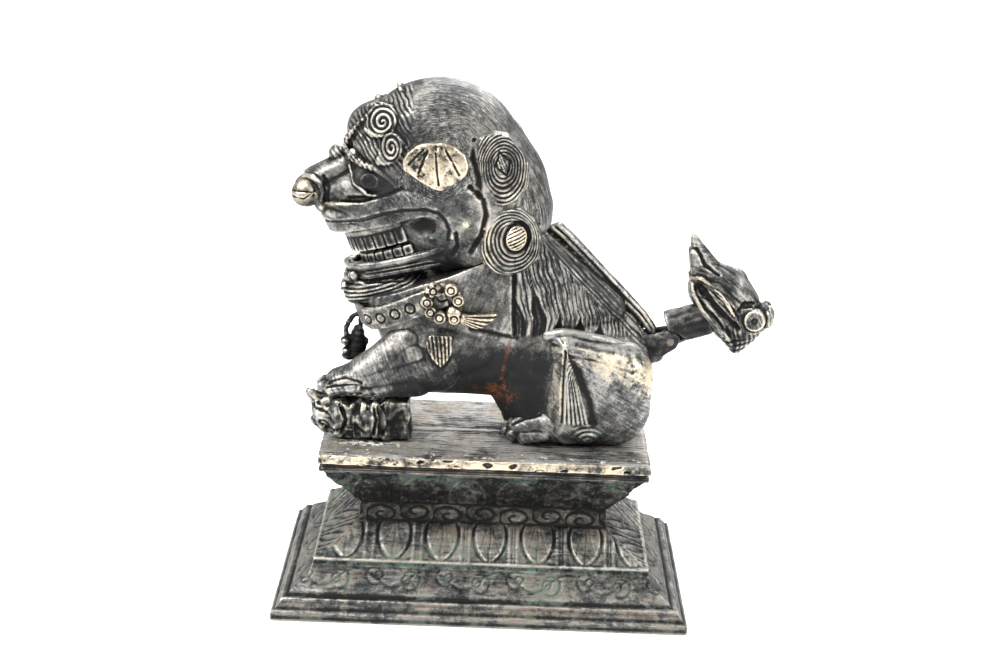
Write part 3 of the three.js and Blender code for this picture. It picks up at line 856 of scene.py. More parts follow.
@dataclass
class Plinth:
    """The tiered lotus plinth and the slab on it."""

    place: Place
    foot_edge: float = 3.7
    border: tuple = ((3.9, 7), (10.8, 11.6))
    rising: tuple = ((12.8, 16.8), (26.4, 25.9))
    waist: tuple = ((26.4, 25.9), (26.8, 32.2))
    falling: tuple = ((26.8, 32.2), (15, 46.7))
    wall: float = 5.0
    top_plate: float = 3.0
    slab_inset: float = 13.5
    petal_pitch: float = 15.8
    petal_middle: float = 2.6
    columns: tuple[int, int] = (226, 146)

    def __post_init__(self) -> None:
        """Takes the outer sizes from the frame."""
        low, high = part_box("plinth")
        self.half = ((high.x - low.x) / 2 / MM, (high.y - low.y) / 2 / MM)
        self.floor = -self.place.slab_top / MM

    def build(self, shop: Workshop) -> None:
        """Makes both castings."""
        self._casting(shop)
        self._slab(shop)

    def _profile(self) -> list[tuple[float, float]]:
        """The plinth's rows, outside and then inside, above the floor."""
        outside = [(0.5, 0.0), (0.0, 0.5), (0.0, self.foot_edge - 0.5), (0.5, self.foot_edge)]
        outside += [self.border[0], self.border[1], (self.rising[0][0] - 1.2, 12.6)]
        outside += [(self.rising[0][0] - 0.4, self.rising[0][1] - 1.2), self.rising[0], self.rising[1]]
        outside += [self.falling[0], self.falling[1]]
        rows = dense(outside, 0.56)
        middle = self.half[1]
        under = self.falling[1][1] - self.top_plate
        inside = [(middle, self.falling[1][1]), (middle, under), (self.falling[1][0] + self.wall, under)]
        inside += [(self.falling[0][0] + self.wall, self.falling[0][1])]
        inside += [(self.rising[1][0] + self.wall, self.rising[1][1])]
        inside += [(self.rising[0][0] + self.wall, self.rising[0][1]), (self.wall, 0.0), (0.5, 0.0)]
        return rows + dense(inside, 6.0)

    def _side(self, clay: Clay) -> tuple[Field, Field, Field]:
        """Which side each point is on.

        Returns:
            The distance along the side, 1 on the two long sides, and the height above the floor.
        """
        height = clay.z - self.floor
        long = np.abs(clay.normal[:, 1]) > np.abs(clay.normal[:, 0])
        return np.where(long, clay.x, clay.y), long.astype(float), height

    def _casting(self, shop: Workshop) -> None:
        """The plinth itself, with its petals, scrolls and worn edges."""
        profile = [(inset, z + self.floor) for inset, z in self._profile()]
        mesh = wrapped_sheet(profile, self.half, self.columns, "plinth")
        mesh = evaluated(mesh, [("SMOOTH", {"factor": 0.5, "iterations": 1})])
        clay = Clay(mesh, seed=11)
        s, long, height = self._side(clay)
        slope = self._slopes(clay, height)
        relief = self._rising_petals(s, long, height, slope) + self._falling_petals(s, long, height, slope)
        relief += self._waist_scrolls(s, height, slope) + self._border_scrolls(s, height)
        for at, width, depth in (
            (4.3, 0.5, -0.35), (6.5, 0.6, 0.35), (7.7, 0.7, -0.6), (15.9, 0.6, -0.5), (16.9, 0.5, 0.35)
        ):
            relief += depth * hump(height - at, width)
        relief += 0.1 * clay.lumps(3) + 0.06 * clay.lumps(1.2)
        clay.push(np.where(height < 5.0, np.minimum(relief, 0.0) - 0.05, relief))
        self._age(clay, height)
        shop.deliver("plinth_casting", clay, Slot.PLINTH, ["plinth"], relief=0.8)

    def _slopes(self, clay: Clay, height: Field) -> dict[str, Field]:
        """Where each tier's face is: 1 on it, 0 off it, fading in a millimetre at its edges."""
        reach = self.half[0] - np.abs(clay.x)
        reach_y = self.half[1] - np.abs(clay.y)
        inset = np.minimum(reach, reach_y)
        masks = {}
        for key, tier in (("rising", self.rising), ("waist", self.waist), ("falling", self.falling)):
            (i0, z0), (i1, z1) = tier
            t = fraction(height, z0, z1)
            on_face = np.abs(inset - (i0 + (i1 - i0) * t)) < 1.2
            edge = 0.8 / (z1 - z0)
            masks[key] = on_face * rise(t, 0, edge) * rise(1 - t, 0, edge)
        return masks

    def _petal_place(self, s: Field, long: Field, pitch: float) -> Field:
        """Distance along a side from the nearest petal's middle."""
        middle = self.petal_middle * long
        return (s - middle + pitch / 2 * long) % pitch - pitch / 2

    def _rising_petals(self, s: Field, long: Field, height: Field, slope: dict[str, Field]) -> Field:
        """Upright outlined petals with a vein, and ribs between them."""
        (i0, z0), (i1, z1) = self.rising
        t = fraction(height, z0, z1)
        u = self._petal_place(s, long, self.petal_pitch)
        lean = 1.0 + 0.25 * (t - 0.5)
        half_width = 5.3 * np.sqrt(np.clip(1.0 - ((t - 0.62) / 0.56) ** 2, 0.0, 1.0)) * lean
        from_edge = half_width - np.abs(u)
        inside = rise(from_edge, 0, 0.8) * (t > 0.05)
        dish = 0.25 * inside - 0.8 * hump(from_edge, 0.8) * (t > 0.08) * (t < 0.99)
        vein = -0.20 * hump(u + 0.3 * np.sin(7 * t), 0.45) * inside
        side_veins = -0.14 * hump(np.abs(u) - 3.6 * (1 - t) - 0.6, 0.45) * inside
        rib = 0.35 * hump(np.abs(u) - 6.6, 1) + 0.2 * hump(np.abs(u) - 7.9, 0.5)
        on_long = (dish + vein + side_veins + rib * (1.0 - inside)) * long
        hatch = furrows(s * 0.75 + 9.0 * t * np.sign(s) * -1.0 + 0.8 * np.sin(s * 0.5), 3.1, 1.6)
        on_short = (-0.6 * hatch + 0.15) * (1.0 - long)
        corner = rise(self.half[0] - i0 - (i1 - i0) * t - np.abs(s), 1, 2.5)
        return (on_long * np.where(long > 0.5, corner, 1.0) + on_short) * slope["rising"]

    def _falling_petals(self, s: Field, long: Field, height: Field, slope: dict[str, Field]) -> Field:
        """Hanging round petals in two rows, with dark gaps at the top."""
        (_, z0), (_, z1) = self.falling
        t = fraction(height, z0, z1)
        u = self._petal_place(s + self.petal_pitch / 2, long, self.petal_pitch)
        outline = 7.0 * np.sqrt(np.clip(1.0 - ((t - 0.25) / 0.68) ** 2, 0.0, 1.0))
        front = rise(outline - np.abs(u), 0, 1)
        edge = hump(outline - np.abs(u) - 1.2, 0.9)
        inner = hump(outline - np.abs(u) - 3.2, 0.6)
        curl = furrows(np.hypot(np.abs(u) - 3.0, (t - 0.45) * 14.0), 2.2, 2.0)
        notch = hump(np.abs(np.abs(u) - 7.9), 2) * rise(t, 0.6, 0.8)
        return (
            (0.5 * front + 0.2 * edge - 0.3 * inner - 0.15 * curl * front - 1.1 * notch - 0.2)
            * slope["falling"]
        )

    def _waist_scrolls(self, s: Field, height: Field, slope: dict[str, Field]) -> Field:
        """Cloud scrolls round the waist."""
        (_, z0), (_, z1) = self.waist
        w = (height - (z0 + z1) / 2) + 0.5
        pitch = 11.0
        u = (s + pitch / 2) % pitch - pitch / 2
        turn = np.where(np.floor((s + pitch / 2) / pitch) % 2 > 0, 1.0, -1.0)
        radius = np.hypot(u * 0.62, w * turn + 0.6)
        swirl = radius - 0.35 * np.arctan2(w * turn, u)
        return (0.35 * hump(radius, 3.4) - 0.5 * furrows(swirl, 2.3, 2.6)) * slope["waist"]

    def _border_scrolls(self, s: Field, height: Field) -> Field:
        """A running vine engraved in the sloped border."""
        low, high = self.border[0][1] + 1.4, self.border[1][1] + 4.2
        t = fraction(height, low, high)
        zone = rise(height, low - 0.2, low + 0.6) * rise(high + 0.2 - height, 0, 0.8)
        pitch = 23.0
        phase = 2.0 * math.pi * s / pitch
        wave = 0.5 + 0.3 * np.sin(phase)
        vine = hump((t - wave) * 8, 0.75)
        u = (s - pitch * 0.25) % (pitch / 2) - pitch / 4
        up = np.where(np.floor((s - pitch * 0.25) / (pitch / 2)) % 2 > 0, 1.0, -1.0)
        w = (t - 0.5) * 8.0 + 0.6 * up
        radius = np.hypot(u * 0.8, w)
        loop = hump(radius - 2.4, 0.6) * rise(u * up, -2.4, -1)
        curl = hump(np.hypot(u * 0.8 + 1 * up, w) - 1, 0.5)
        return -0.30 * np.maximum(np.maximum(vine, loop), curl) * zone

    def _age(self, clay: Clay, height: Field) -> None:
        """Verdigris in the lower tiers, brown cast skin above, brass where hands and shelves rub, and
        painted shade under the overhang and in the creases.
        """
        sloping = rise(height, 6, 9) * (1.0 - rise(height, 20, 27))
        clay.paint("green", 0.54 * sloping + 0.5 * rise(height, 32, 36) + 0.4 * rise(6 - height, 0, 2))
        clay.paint("red", 0.18 * rise(height, 33, 36))
        corner = rise(np.minimum(np.abs(clay.x) / self.half[0], np.abs(clay.y) / self.half[1]), 0.55, 0.9)
        clay.paint("brass", 0.22 * (1.0 - rise(height, 0.3, 1.6)) + 0.1 * corner)
        # Painted shade: darker on the waist and the overhanging tiers above it, and in the creases at 15,
        # 7.6 and 4.2 mm up.
        clay.paint(
            "dark", 0.5 * rise(height, 24.5, 27) + 0.45 * hump(height - 15, 1.5)
            + 0.6 * hump(height - 7.6, 1.2)
        )
        clay.paint("dark", 0.3 * hump(height - 4.2, 0.8))
        clay.paint("pale", 0.22 * rise(26 - height, 0, 3) * rise(height, 6.5, 8) + 0.15 * clay.lumps(4))
        clay.comb(height, clay.x + clay.y, 0.35, 1.4)

    def _slab(self, shop: Workshop) -> None:
        """The slab under the figure, with a rubbed front edge, a streaked top made paler as a painted
        highlight, and the figure's painted shadow on it.
        """
        inset, middle = self.slab_inset, self.half[1]
        bottom = -(self.place.slab_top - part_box("slab")[0].z) / MM
        edge = [(inset + 1.2, 0.0), (inset + 0.35, -0.3), (inset, -1.0), (inset, -3.2), (inset + 0.9, -3.7)]
        edge += [(inset + 1.1, -4.5), (inset + 0.4, -4.9), (inset + 0.6, bottom)]
        outer = [(middle, bottom), (inset + 4.0, bottom)] + dense(edge[::-1], 0.36)
        top = [(inset + 1.2, 0.0), (middle, 0.0)]
        profile = outer + dense(top, 0.8)[1:] + [(middle, bottom)]
        mesh = wrapped_sheet(profile, self.half, (210, 116), "slab")
        clay = Clay(mesh, seed=12)
        upper = rise(clay.normal[:, 2], 0.6, 0.9)
        sides = (1.0 - upper) * (clay.z > bottom + 0.3)
        drift = 0.35 * np.sin(clay.x * 0.21 + clay.y * 0.1) + 0.3 * np.sin(clay.x * 0.093 - clay.y * 0.31)
        scratches = (
            furrows(clay.y * 1.15 + drift * 2.0, 1.7, 2.0) * (0.5 + 0.5 * np.sin(clay.x * 0.16 + clay.y))
        )
        chips = rise(clay.lumps(1.6), 0.5, 0.9)
        relief = upper * (0.12 * drift - 0.22 * np.clip(scratches, 0.0, 1.0) - 0.2) + 0.12 * clay.lumps(2)
        relief -= sides * (0.9 * chips * (clay.z > -3.4) + 0.15 * np.abs(drift))
        clay.push(relief)
        front = rise(-clay.y, 26, 29) * (clay.z < -0.3) * (clay.z > -3.5)
        lower_lip = (clay.z < -4.7) * (clay.normal[:, 2] > -0.5)
        clay.paint("brass", (0.46 + 0.3 * clay.lumps(2.4)) * front + 0.28 * lower_lip + 0.2 * sides)
        # Painted highlight: the whole upward top made paler.
        clay.paint("pale", upper * (0.8 + 0.5 * clay.lumps(5)))
        crusted = hump(np.hypot((clay.x + 39) / 20, (clay.y + 17) / 5), 1)
        clay.paint("crust", upper * (0.55 * crusted + 0.10 + 0.25 * rise(-clay.y, 18, 27)))
        clay.paint("red", upper * 0.16)
        # Painted shadow of the body on the slab's top.
        painted_body_shadow = hump(np.hypot((clay.x + 2) / 30, clay.y / 20), 1)
        clay.paint("dark", upper * 0.35 * painted_body_shadow)
        clay.comb(clay.y, clay.x, upper * 0.8 + sides * 0.4, 0.9)
        shop.deliver("slab_casting", clay, Slot.PLINTH, ["slab"], relief=0.9)


# --- head


NECK = Plane((-13, 0, 58), (-math.sin(math.radians(23)), 0, math.cos(math.radians(23))))


def neck_cut(keep_above: bool, gap: float = 0.15) -> Plane:
    """The seam between head and body.

    Args:
        keep_above: True for the head, False for the body.
        gap: Half the seam's width.

    Returns:
        The cut.
    """
    sign = 1.0 if keep_above else -1.0
    normal = Vector(NECK.normal)
    point = Vector(NECK.point) + normal * gap * sign
    return Plane(tuple(point), tuple(normal * -sign))


@dataclass
class Head:
    """The head casting with its face, and the pieces let into it."""

    x: float = -18.0
    z: float = 90.5
    radius: float = 28.0
    half_width: float = 21.0
    hair_pitch: float = 1.75
    lip_edge: tuple = (
        (-57.4, 0, 77.8), (-55.6, -5, 77.4), (-50, -9.8, 78), (-42.6, -12.6, 78.8),
        (-35.4, -15.6, 81.3), (-28.5, -18.8, 84.6), (-20, -20, 84.9), (-14.6, -20.1, 83.4),
        (-11.2, -20.1, 80.2), (-8.9, -19.8, 76.6), (-8.2, -19.2, 73),
    )
    lip_fold: tuple = (
        (-54.8, 0, 70.8), (-52.4, -5, 71.4), (-47.8, -9.6, 72.7), (-42.4, -12.6, 74),
        (-35.2, -15.4, 76.9), (-28.4, -17.9, 79), (-21.4, -19.5, 79.9), (-17.3, -19.8, 79),
        (-14.9, -19.8, 76.6), (-13.7, -19.4, 73.4), (-14, -18.8, 70.2),
    )
    gum_top: tuple = (
        (-54, 0, 69.6), (-51.6, -4.4, 70.2), (-47, -8.7, 71.4), (-41.6, -11.8, 72.9),
        (-34.4, -14.6, 75.8), (-28, -17, 78), (-21.4, -18.7, 78.9), (-17, -19.1, 78),
        (-15.6, -19, 75.6), (-15.2, -18.7, 71.6),
    )
    gum_line: tuple = (
        (-52.8, 0, 67.4), (-50.4, -4.6, 68), (-46.2, -8.6, 69.3), (-39.8, -11.8, 71.4),
        (-31.4, -14.9, 74.1), (-25.5, -17.3, 76.9), (-21.6, -18.5, 77.3), (-18.5, -18.8, 76),
        (-17.7, -18.6, 73.2), (-19.4, -17.4, 70.2),
    )
    brow_rope: tuple = (
        (-39.5, -9.5, 108.2), (-42.8, -10.2, 105.2), (-46, -9.4, 101.6), (-47.9, -7.8, 98.4),
        (-47.8, -7.2, 95.8), (-45.8, -9.2, 93.4), (-41.8, -12.6, 91.9), (-37.6, -15, 91.2),
    )
    lid: tuple = (
        (-46.6, -7.6, 90.4), (-44.6, -10.8, 85.4), (-40.2, -13.2, 82.4), (-35.4, -15, 82.6),
            (-30.2, -18, 85),
    )

    def build(self, shop: Workshop) -> None:
        """Makes the head and all that sits on it."""
        self._casting(shop)
        self._nose(shop)
        self._eyes(shop)
        self._ears(shop)
        self._upper_curls(shop)
        self._lower_curls(shop)
        self._teeth(shop)
        self._jaw(shop)

    def _skins(self) -> list[Skin]:
        """The clay of the head casting."""
        x, z, r, w = self.x, self.z, self.radius, self.half_width
        skins = [
            [Ball(x, 0, z, r, w, r), Ball(x + 9, 0, z - 10.5, r - 1, w, r - 1),
                Ball(x + 27, 0, z - 13, 10.5, 17, 10),
                Ball(x + 31.5, 0, z - 16, 5.8, 15.5, 5.4)],
            [Ball(x - 12, 0, z + 6, 15, 17.5, 14), Ball(x - 19.5, 0, z + 10.5, 10.5, 14, 9.6)],
            [Ball(x - 12, 0, z - 4.5, 12, 15, 9.5), Ball(x - 32, 0, z - 10, 7.5, 8.6, 5.5)],
            [Ball(x - 31, 0, z - 2, 4.5, 5.2, 4.6), Ball(x - 39.5, 0, z - 6.8, 5, 5.6, 5)],
            [Ball(x - 39, 0, z - 8, 5, 6.4, 5.2), Ball(x - 36.5, 0, z - 13.5, 4, 7, 4)],
            [Ball(x - 32, 0, z - 15.8, 5.5, 10.5, 3.2), Ball(x - 8, 0, z - 10.5, 8, 17.5, 5)],
            [Ball(x + 4, 0, z - 14.5, 11, 18.5, 11), Ball(x + 12, 0, z - 24.5, 16, 19.5, 10)],
            [Ball(x - 33.2, 0, z + 2.2, 2.9, 3.4, 2.9)],
        ]
        skins += both(band(self.lip_edge, self.lip_fold, 0.8))
        skins += both(band(self.gum_top, self.gum_line, 0.75))
        skins += both(beads(self.brow_rope, 1.9, 1.2))
        skins += both(coil(self.lid, 0.75, 0.6))
        skins += both(coil(((-37.6, -15.2, 91), (-33.6, -16.8, 88.8), (-29.6, -18.4, 85.8)), 0.9, 0.6))
        skins += both([[Ball(-43, -5.5, 99.6, 4.4, 4.6, 5.6), Ball(-36.5, -10.5, 98, 5.4, 5.4, 7)]])
        rim_a = (
            (-38.4, -6.6, 110), (-36.3, -8.2, 110.2), (-33.4, -9.8, 109.6), (-32.2, -11.8, 108),
            (-32.4, -13.6, 106.2), (-33.4, -15, 104.4), (-35.6, -15.8, 102.9), (-38.5, -15.2, 102.4),
            (-40.8, -13.8, 103.4),
        )
        rim_b = (
            (-33.6, -15.4, 103.2), (-31.2, -16.6, 102.2), (-29.9, -17.4, 100.4), (-30.4, -18, 98),
            (-31.6, -17.8, 95.8), (-33.6, -17.2, 94.2), (-36.4, -16.4, 94),
        )
        skins += both([[Ball(*point, 1.3) for point in rim] for rim in (rim_a, rim_b)])
        skins += both(
            coil(((-61.4, -3.4, 85.6), (-58.6, -5.8, 85.8), (-56.2, -7.4, 84.4), (-55.1, -8, 81.6),
            (-55.5, -7.8, 78.6)), 0.85, 0.7)
        )
        skins += both(
            band(((-9.6, -19.2, 88.6), (-5.2, -19.4, 84.6), (-4.6, -19.2, 79), (-6.2, -18.6, 70.6)),
            ((-12, -19.2, 86.6), (-8.6, -19.6, 82), (-7, -19.4, 77), (-9, -18.4, 69)), 1)
        )
        nub = [
            (-31.0, -6.0, 115.0), (-31.6, -3.0, 115.6), (-31.8, 0.0, 115.8), (-31.6, 3.0, 115.6),
            (-31.0, 6.0, 115.0)
        ]
        skins += beads(nub, 1.5, 0.6)
        return skins

    def _casting(self, shop: Workshop) -> None:
        """The head itself."""
        clay = model(self._skins(), 0.4, [neck_cut(True)], soften=1, mirrored=True, seed=21)
        x, z = clay.x, clay.z
        face = rise(-x, 33, 40) * rise(107 - z, 0, 6)
        face = np.maximum(face, rise(83.5 - z + 0.25 * (x + 20), 0, 2.5) * rise(-x, -6, 0))
        brow = rise(-x - 27 + 0.25 * (z - 100), 0, 3)
        hair = (1.0 - np.maximum(face, brow)) * rise(z, 62, 66)

        from_ear = clay.at - np.array([self.x + 1.0, 0.0, self.z + 2.0])
        reach = np.linalg.norm(from_ear, axis=1)
        across = np.arccos(np.clip(np.abs(from_ear[:, 1]) / reach, 0.0, 1.0)) * 27.0
        around = np.arctan2(from_ear[:, 2], from_ear[:, 0]) * 26.0
        wobble = 0.5 * np.sin(around * 0.13 + across * 0.4) + 0.3 * np.sin(around * 0.31 + 1.7)
        locks = (
            furrows(across + wobble, self.hair_pitch, 1.2)
            * (0.55 + 0.45 * np.sin(around * 0.09 + across * 1.7))
        )
        relief = (
            -0.08 * locks * hair + 0.2 * clay.lumps(2.2) * (1.0 - 0.7 * hair) + 0.25 * clay.lumps(7) * hair
        )

        side = clay.flank
        curls = ((-36, 106.3, 4.9, 4.4), (-32.9, 98.8, 3.4, 4.9))
        coiled = np.zeros(len(x))
        for cx, cz, rx, rz in curls:
            place = clay.oval((cx, cz), (rx, rz), 0)
            swirl = place * 0.5 * (rx + rz) + 0.26 * np.arctan2(z - cz, x - cx)
            within = rise(1.1 - place, 0, 0.15) * side
            relief -= within * (0.75 * furrows(swirl, 1.65, 1.3) + 0.6 * hump(place, 0.3))
            coiled = np.maximum(coiled, within)
        for k, drop in enumerate((0.0, 1.7, 3.4)):
            line = [(px + 0.9 + 0.8 * k, py, pz - drop * 0.25) for px, py, pz in self.brow_rope[1:6]]
            relief += clay.line(line, 0.7, -0.28)
        corner = clay.oval((-21.8, 74), (5, 3.2), 15)
        relief -= side * 1.9 * hump(corner, 1.1)
        relief += clay.line(self.lip_fold, 0.9, -0.5)
        relief += clay.line(((-55, -4.8, 86), (-53.4, -7.2, 83), (-53.8, -7.9, 79.2)), 0.9, -0.7)
        relief += clay.line(
            ((-46, -9.2, 80.6), (-40, -12, 80.6), (-34, -15, 82.6), (-29, -17.8, 86.2)), 1.2, -0.5
        )
        relief += clay.line(
            ((-7.6, -20, 87.6), (-3.4, -19.8, 83.6), (-2.4, -19.6, 79), (-3.6, -19, 72),
            (-6.6, -18.6, 66.6)), 1.3, -1
        )
        relief += clay.line(((-11.6, -20, 72.4), (-11.2, -19.6, 68), (-13.5, -18.4, 64)), 1, -0.7)
        relief += clay.line(((-5.8, -21, 102.8), (-6.6, -20, 97), (-5, -20, 91), (-4.6, -20, 85)), 1.6, -0.9)
        relief += clay.line(((-5.8, -20, 103.2), (-1, -19, 105.4), (3, -18, 106)), 1.2, -0.6)
        clay.push(relief)
        clay.comb(across + wobble, around, hair, 2.6)
        brow = rise(z, 90, 94) * rise(-x, 25, 29) * side * (1.0 - coiled)
        relief = np.zeros(len(x)) - 0.3 * furrows(x * 0.8 + z * 0.6 + 0.5 * clay.lumps(2), 1.5, 1.2) * brow
        clay.push(relief)
        clay.comb(x * 0.7 + z * 0.7, x - z, brow * 0.8, 1.8)
        clay.comb(clay.z + 0.4 * clay.x, clay.x, face * 0.3, 1)
        # Painted shade: darkened in the eye socket, under the back of the head, at the mouth's corner and
        # lip fold, on the jowl and under the jaw, in the open front of the mouth and by the brow.
        socket = clay.oval((-38.2, 87), (9.4, 5.6), -19)
        clay.paint("dark", 0.9 * hump(socket, 1.15) * side)
        clay.paint("dark", 0.5 * rise(72 - z, 0, 6) * rise(x, -30, -20))
        clay.paint("dark", 0.9 * hump(corner, 1.25) * side)
        clay.paint("dark", 0.6 * hump(clay.track(self.lip_fold)[0], 1.1))
        jowl = hump(np.hypot((x + 5) / 7, (z - 70) / 9), 1) * side
        clay.paint("dark", 0.55 * jowl + 0.5 * rise(4 - np.abs(x + 12), 0, 4) * rise(69 - z, 0, 4))
        clay.paint("dark", 0.5 * rise(-x, 42, 47) * rise(84 - z, -3, 3) * rise(z, 71, 76))
        clay.paint("dark", 0.45 * hump(np.hypot((x + 26) / 10, (z - 103) / 7), 1) * side)
        self._age(clay)
        shop.deliver("head_casting", clay, Slot.FIGURE, ["head_shell"])

    def _age(self, clay: Clay) -> None:
        """Brass on the lip, the brow rope and the cheek; a little copper by the mouth."""
        lip, along = clay.track(self.lip_edge)
        clay.paint("brass", 0.55 * hump(lip, 1) * rise(30 - along, 0, 12) * (clay.normal[:, 2] > 0.0))
        front = hump(np.hypot(clay.x + 54.5, clay.z - 75), 4.5) * rise(-clay.y, 2, 4)
        clay.paint("brass", 0.45 * front + 0.28 * hump(clay.track(self.gum_line)[0], 1.3))
        clay.paint("brass", 0.30 * hump(clay.track(self.brow_rope)[0], 1.2))
        clay.paint("brass", 0.66 * hump(np.hypot(clay.x + 8.6, clay.z - 75.4), 2.6) * clay.flank)
        clay.paint("red", 0.30 * hump(np.hypot(clay.x + 18, clay.z - 73.5), 4.5) * clay.flank)
        clay.paint("green", 0.35 * hump(np.hypot(clay.x + 35, clay.z - 84), 4) * clay.flank)

    def _nose(self, shop: Workshop) -> None:
        """The polished nose pad with its two nostrils."""
        skins = both(
            [[Ball(-60.6, -4, 80.2, 4.9, 3.9, 4.7)], [Ball(-60.6, -4, 80.2, 4.6, 3.4, 4.4),
            Ball(-60, 0, 81, 4.6, 3, 4.2)]]
        )
        clay = model(skins, 0.28, soften=2, mirrored=True, seed=22)
        relief = (
            0.25 * np.cos(2.5 * np.arctan2(clay.z - 81.0, clay.x + 58.0) + 0.8)
            * rise(-clay.normal[:, 1], 0, 0.5)
        )
        relief += clay.line(((-65.4, -4, 80), (-61, -8, 79), (-57.6, -7.4, 81.8)), 0.45, -0.3)
        clay.push(relief)
        clay.paint("brass", 0.32 + 0.5 * hump(np.hypot(clay.x + 62, clay.z - 82.6), 3.4))
        # Painted shade: darker on the underside of the nose pad.
        clay.paint("dark", 0.5 * rise(79.5 - clay.z, 0, 3))
        shop.deliver("nose_pad", clay, Slot.BRASS, ["nose"])

    def _eyes(self, shop: Workshop) -> None:
        """Bulging eyeballs with a ringed pupil."""
        for name, side in SIDES:
            ends = [Ball(-41.2, side * 10.4, 87.6, 4.3, 4.2, 3.9), Ball(-35.4, side * 12.9, 85.9, 4, 3.6, 3)]
            clay = model([ends], 0.3, soften=1, seed=23)
            pupil = np.hypot((clay.x + 39.6) / 1.3, clay.z - 87.2)
            out = rise(clay.normal[:, 1] * side, 0.1, 0.4)
            clay.push(out * (0.2 * hump(pupil - 2, 0.7) - 0.3 * hump(pupil, 1.1)))
            # Painted shade: the eyeballs are darkened all over, as they sit deep in the socket.
            clay.paint("dark", 0.85)
            clay.paint("green", 0.25)
            shop.deliver(f"{name}_eyeball", clay, Slot.FIGURE, [f"{name}_eye"])

    def _ears(self, shop: Workshop) -> None:
        """Bright crowned ears, round on top and pointed below, with four engraved lines."""
        outline = (
            (-28.2, 95.2), (-27.2, 97.4), (-24.8, 99.2), (-21.6, 100.4), (-17.2, 100.6), (-13.2, 99.6),
                (-10.2, 97.4),
            (-9, 94.2), (-9.6, 91.8), (-11.6, 89.4), (-15, 86.6), (-17, 86.2), (-19.4, 87.2), (-25, 90.8),
            (-28, 92.6),
        )
        crown = ((-18.8, 22, 96.4), (-16.6, 21.7, 91), (-22.6, 21.7, 95.6), (-13.8, 21.6, 95.4))
        lines = (
            ((-22.7, 99.3), (-27.2, 94.4)), ((-21.3, 99), (-24, 91.6)), ((-18.7, 98.2), (-17.6, 88)),
            ((-15.4, 99.2), (-11, 91.4)),
        )
        for name, side in SIDES:
            rim = [Ball(x, side * 20.2, z, 0.7) for x, z in outline]
            rim += [Ball(x, side * 18.4, z, 0.7) for x, z in outline]
            clay = model([rim + [Ball(x, side * y, z, 0.6) for x, y, z in crown]], 0.24, soften=2, seed=24)
            relief = 0.15 * clay.lumps(1.6)
            for start, end in lines:
                ends = [(x, side * 22.0, z) for x, z in (start, end)]
                relief += clay.line(ends, 0.7, -0.3, reach=5)
            scallop = np.abs(np.sin(np.arctan2(clay.z - 90.0, clay.x + 18.6) * 4.0))
            relief += 0.3 * scallop * rise(clay.z, 97.5, 99.5)
            clay.push(relief)
            clay.paint("brass", 0.76 + 0.18 * clay.lumps(3))
            shop.deliver(f"{name}_ear_fan", clay, Slot.BRASS, [f"{name}_ear"])

    @staticmethod
    def _ring_place(clay: Clay, outer: tuple, inner: tuple) -> Field:
        """Ring number of each point, for rings that shift from an inner to an outer centre.

        Args:
            clay: The curl.
            outer: Centre x, z and radii of the outer edge.
            inner: Centre x and z of the innermost ring.

        Returns:
            0 at the inner centre and 1 on the outer edge.
        """
        place = np.hypot((clay.x - outer[0]) / outer[2], (clay.z - outer[1]) / outer[3])
        for _ in range(4):
            share = np.clip(place, 0.0, 1.0)
            cx = inner[0] + (outer[0] - inner[0]) * share
            cz = inner[1] + (outer[1] - inner[1]) * share
            place = 0.5 * place + 0.5 * np.hypot((clay.x - cx) / outer[2], (clay.z - cz) / outer[3])
        return place

    def _upper_curls(self, shop: Workshop) -> None:
        """Ringed curls behind the ears, with a faceted eye."""
        outline = (
            (-4.2, 102.4), (-0.6, 103.4), (3, 103), (6.8, 99.6), (9.6, 94.4), (9.2, 88.4), (6.6, 84.4),
            (2.6, 82.6), (-1.4, 83.2), (-2.6, 87), (-3, 92), (-4.4, 97.4),
        )
        for name, side in SIDES:
            rim = (
                [Ball(x, side * 18.6, z, 1.3) for x, z in outline]
                + [Ball(x, side * 15, z, 1.5) for x, z in outline]
            )
            skins = [rim, [Ball(2.6, side * 17, 93.6, 6.6, 3.9, 9)]]
            clay = model(skins, 0.28, soften=2, seed=25)
            out = rise(clay.normal[:, 1] * side, 0.1, 0.45)
            place = self._ring_place(clay, (2.8, 93.2, 7.9, 11.4), (2.4, 95.4))
            swirl = place + 0.035 * np.arctan2(clay.z - 95.4, clay.x - 2.4) / math.pi
            rings = furrows(swirl + 0.022 * clay.lumps(2.5), 0.112, 1.1) * rise(place, 0.22, 0.30)
            du, dw = clay.x - 2.4, clay.z - 95.4
            boss = np.abs(du * 0.94 + dw * 0.34) / 1.9 + np.abs(dw * 0.94 - du * 0.34) / 2.9
            facets = furrows(du + 0.45 * dw, 0.95, 1.2) * (boss < 1.0)
            relief = (
                -0.42 * rings - 0.6 * hump(boss - 1.35, 0.35) + 0.8 * np.clip(1.1 - boss, 0.0, 1.0)
                - 0.4 * facets
            )
            clay.push(out * relief)
            clay.paint("brass", 0.24 * rise(91 - clay.z, 0, 8) + 0.3 * (boss < 1.0))
            clay.comb(place * 9, np.arctan2(dw, du) * 5, out * 0.6, 2)
            shop.deliver(f"{name}_upper_curl_casting", clay, Slot.FIGURE, [f"{name}_upper_curl"])

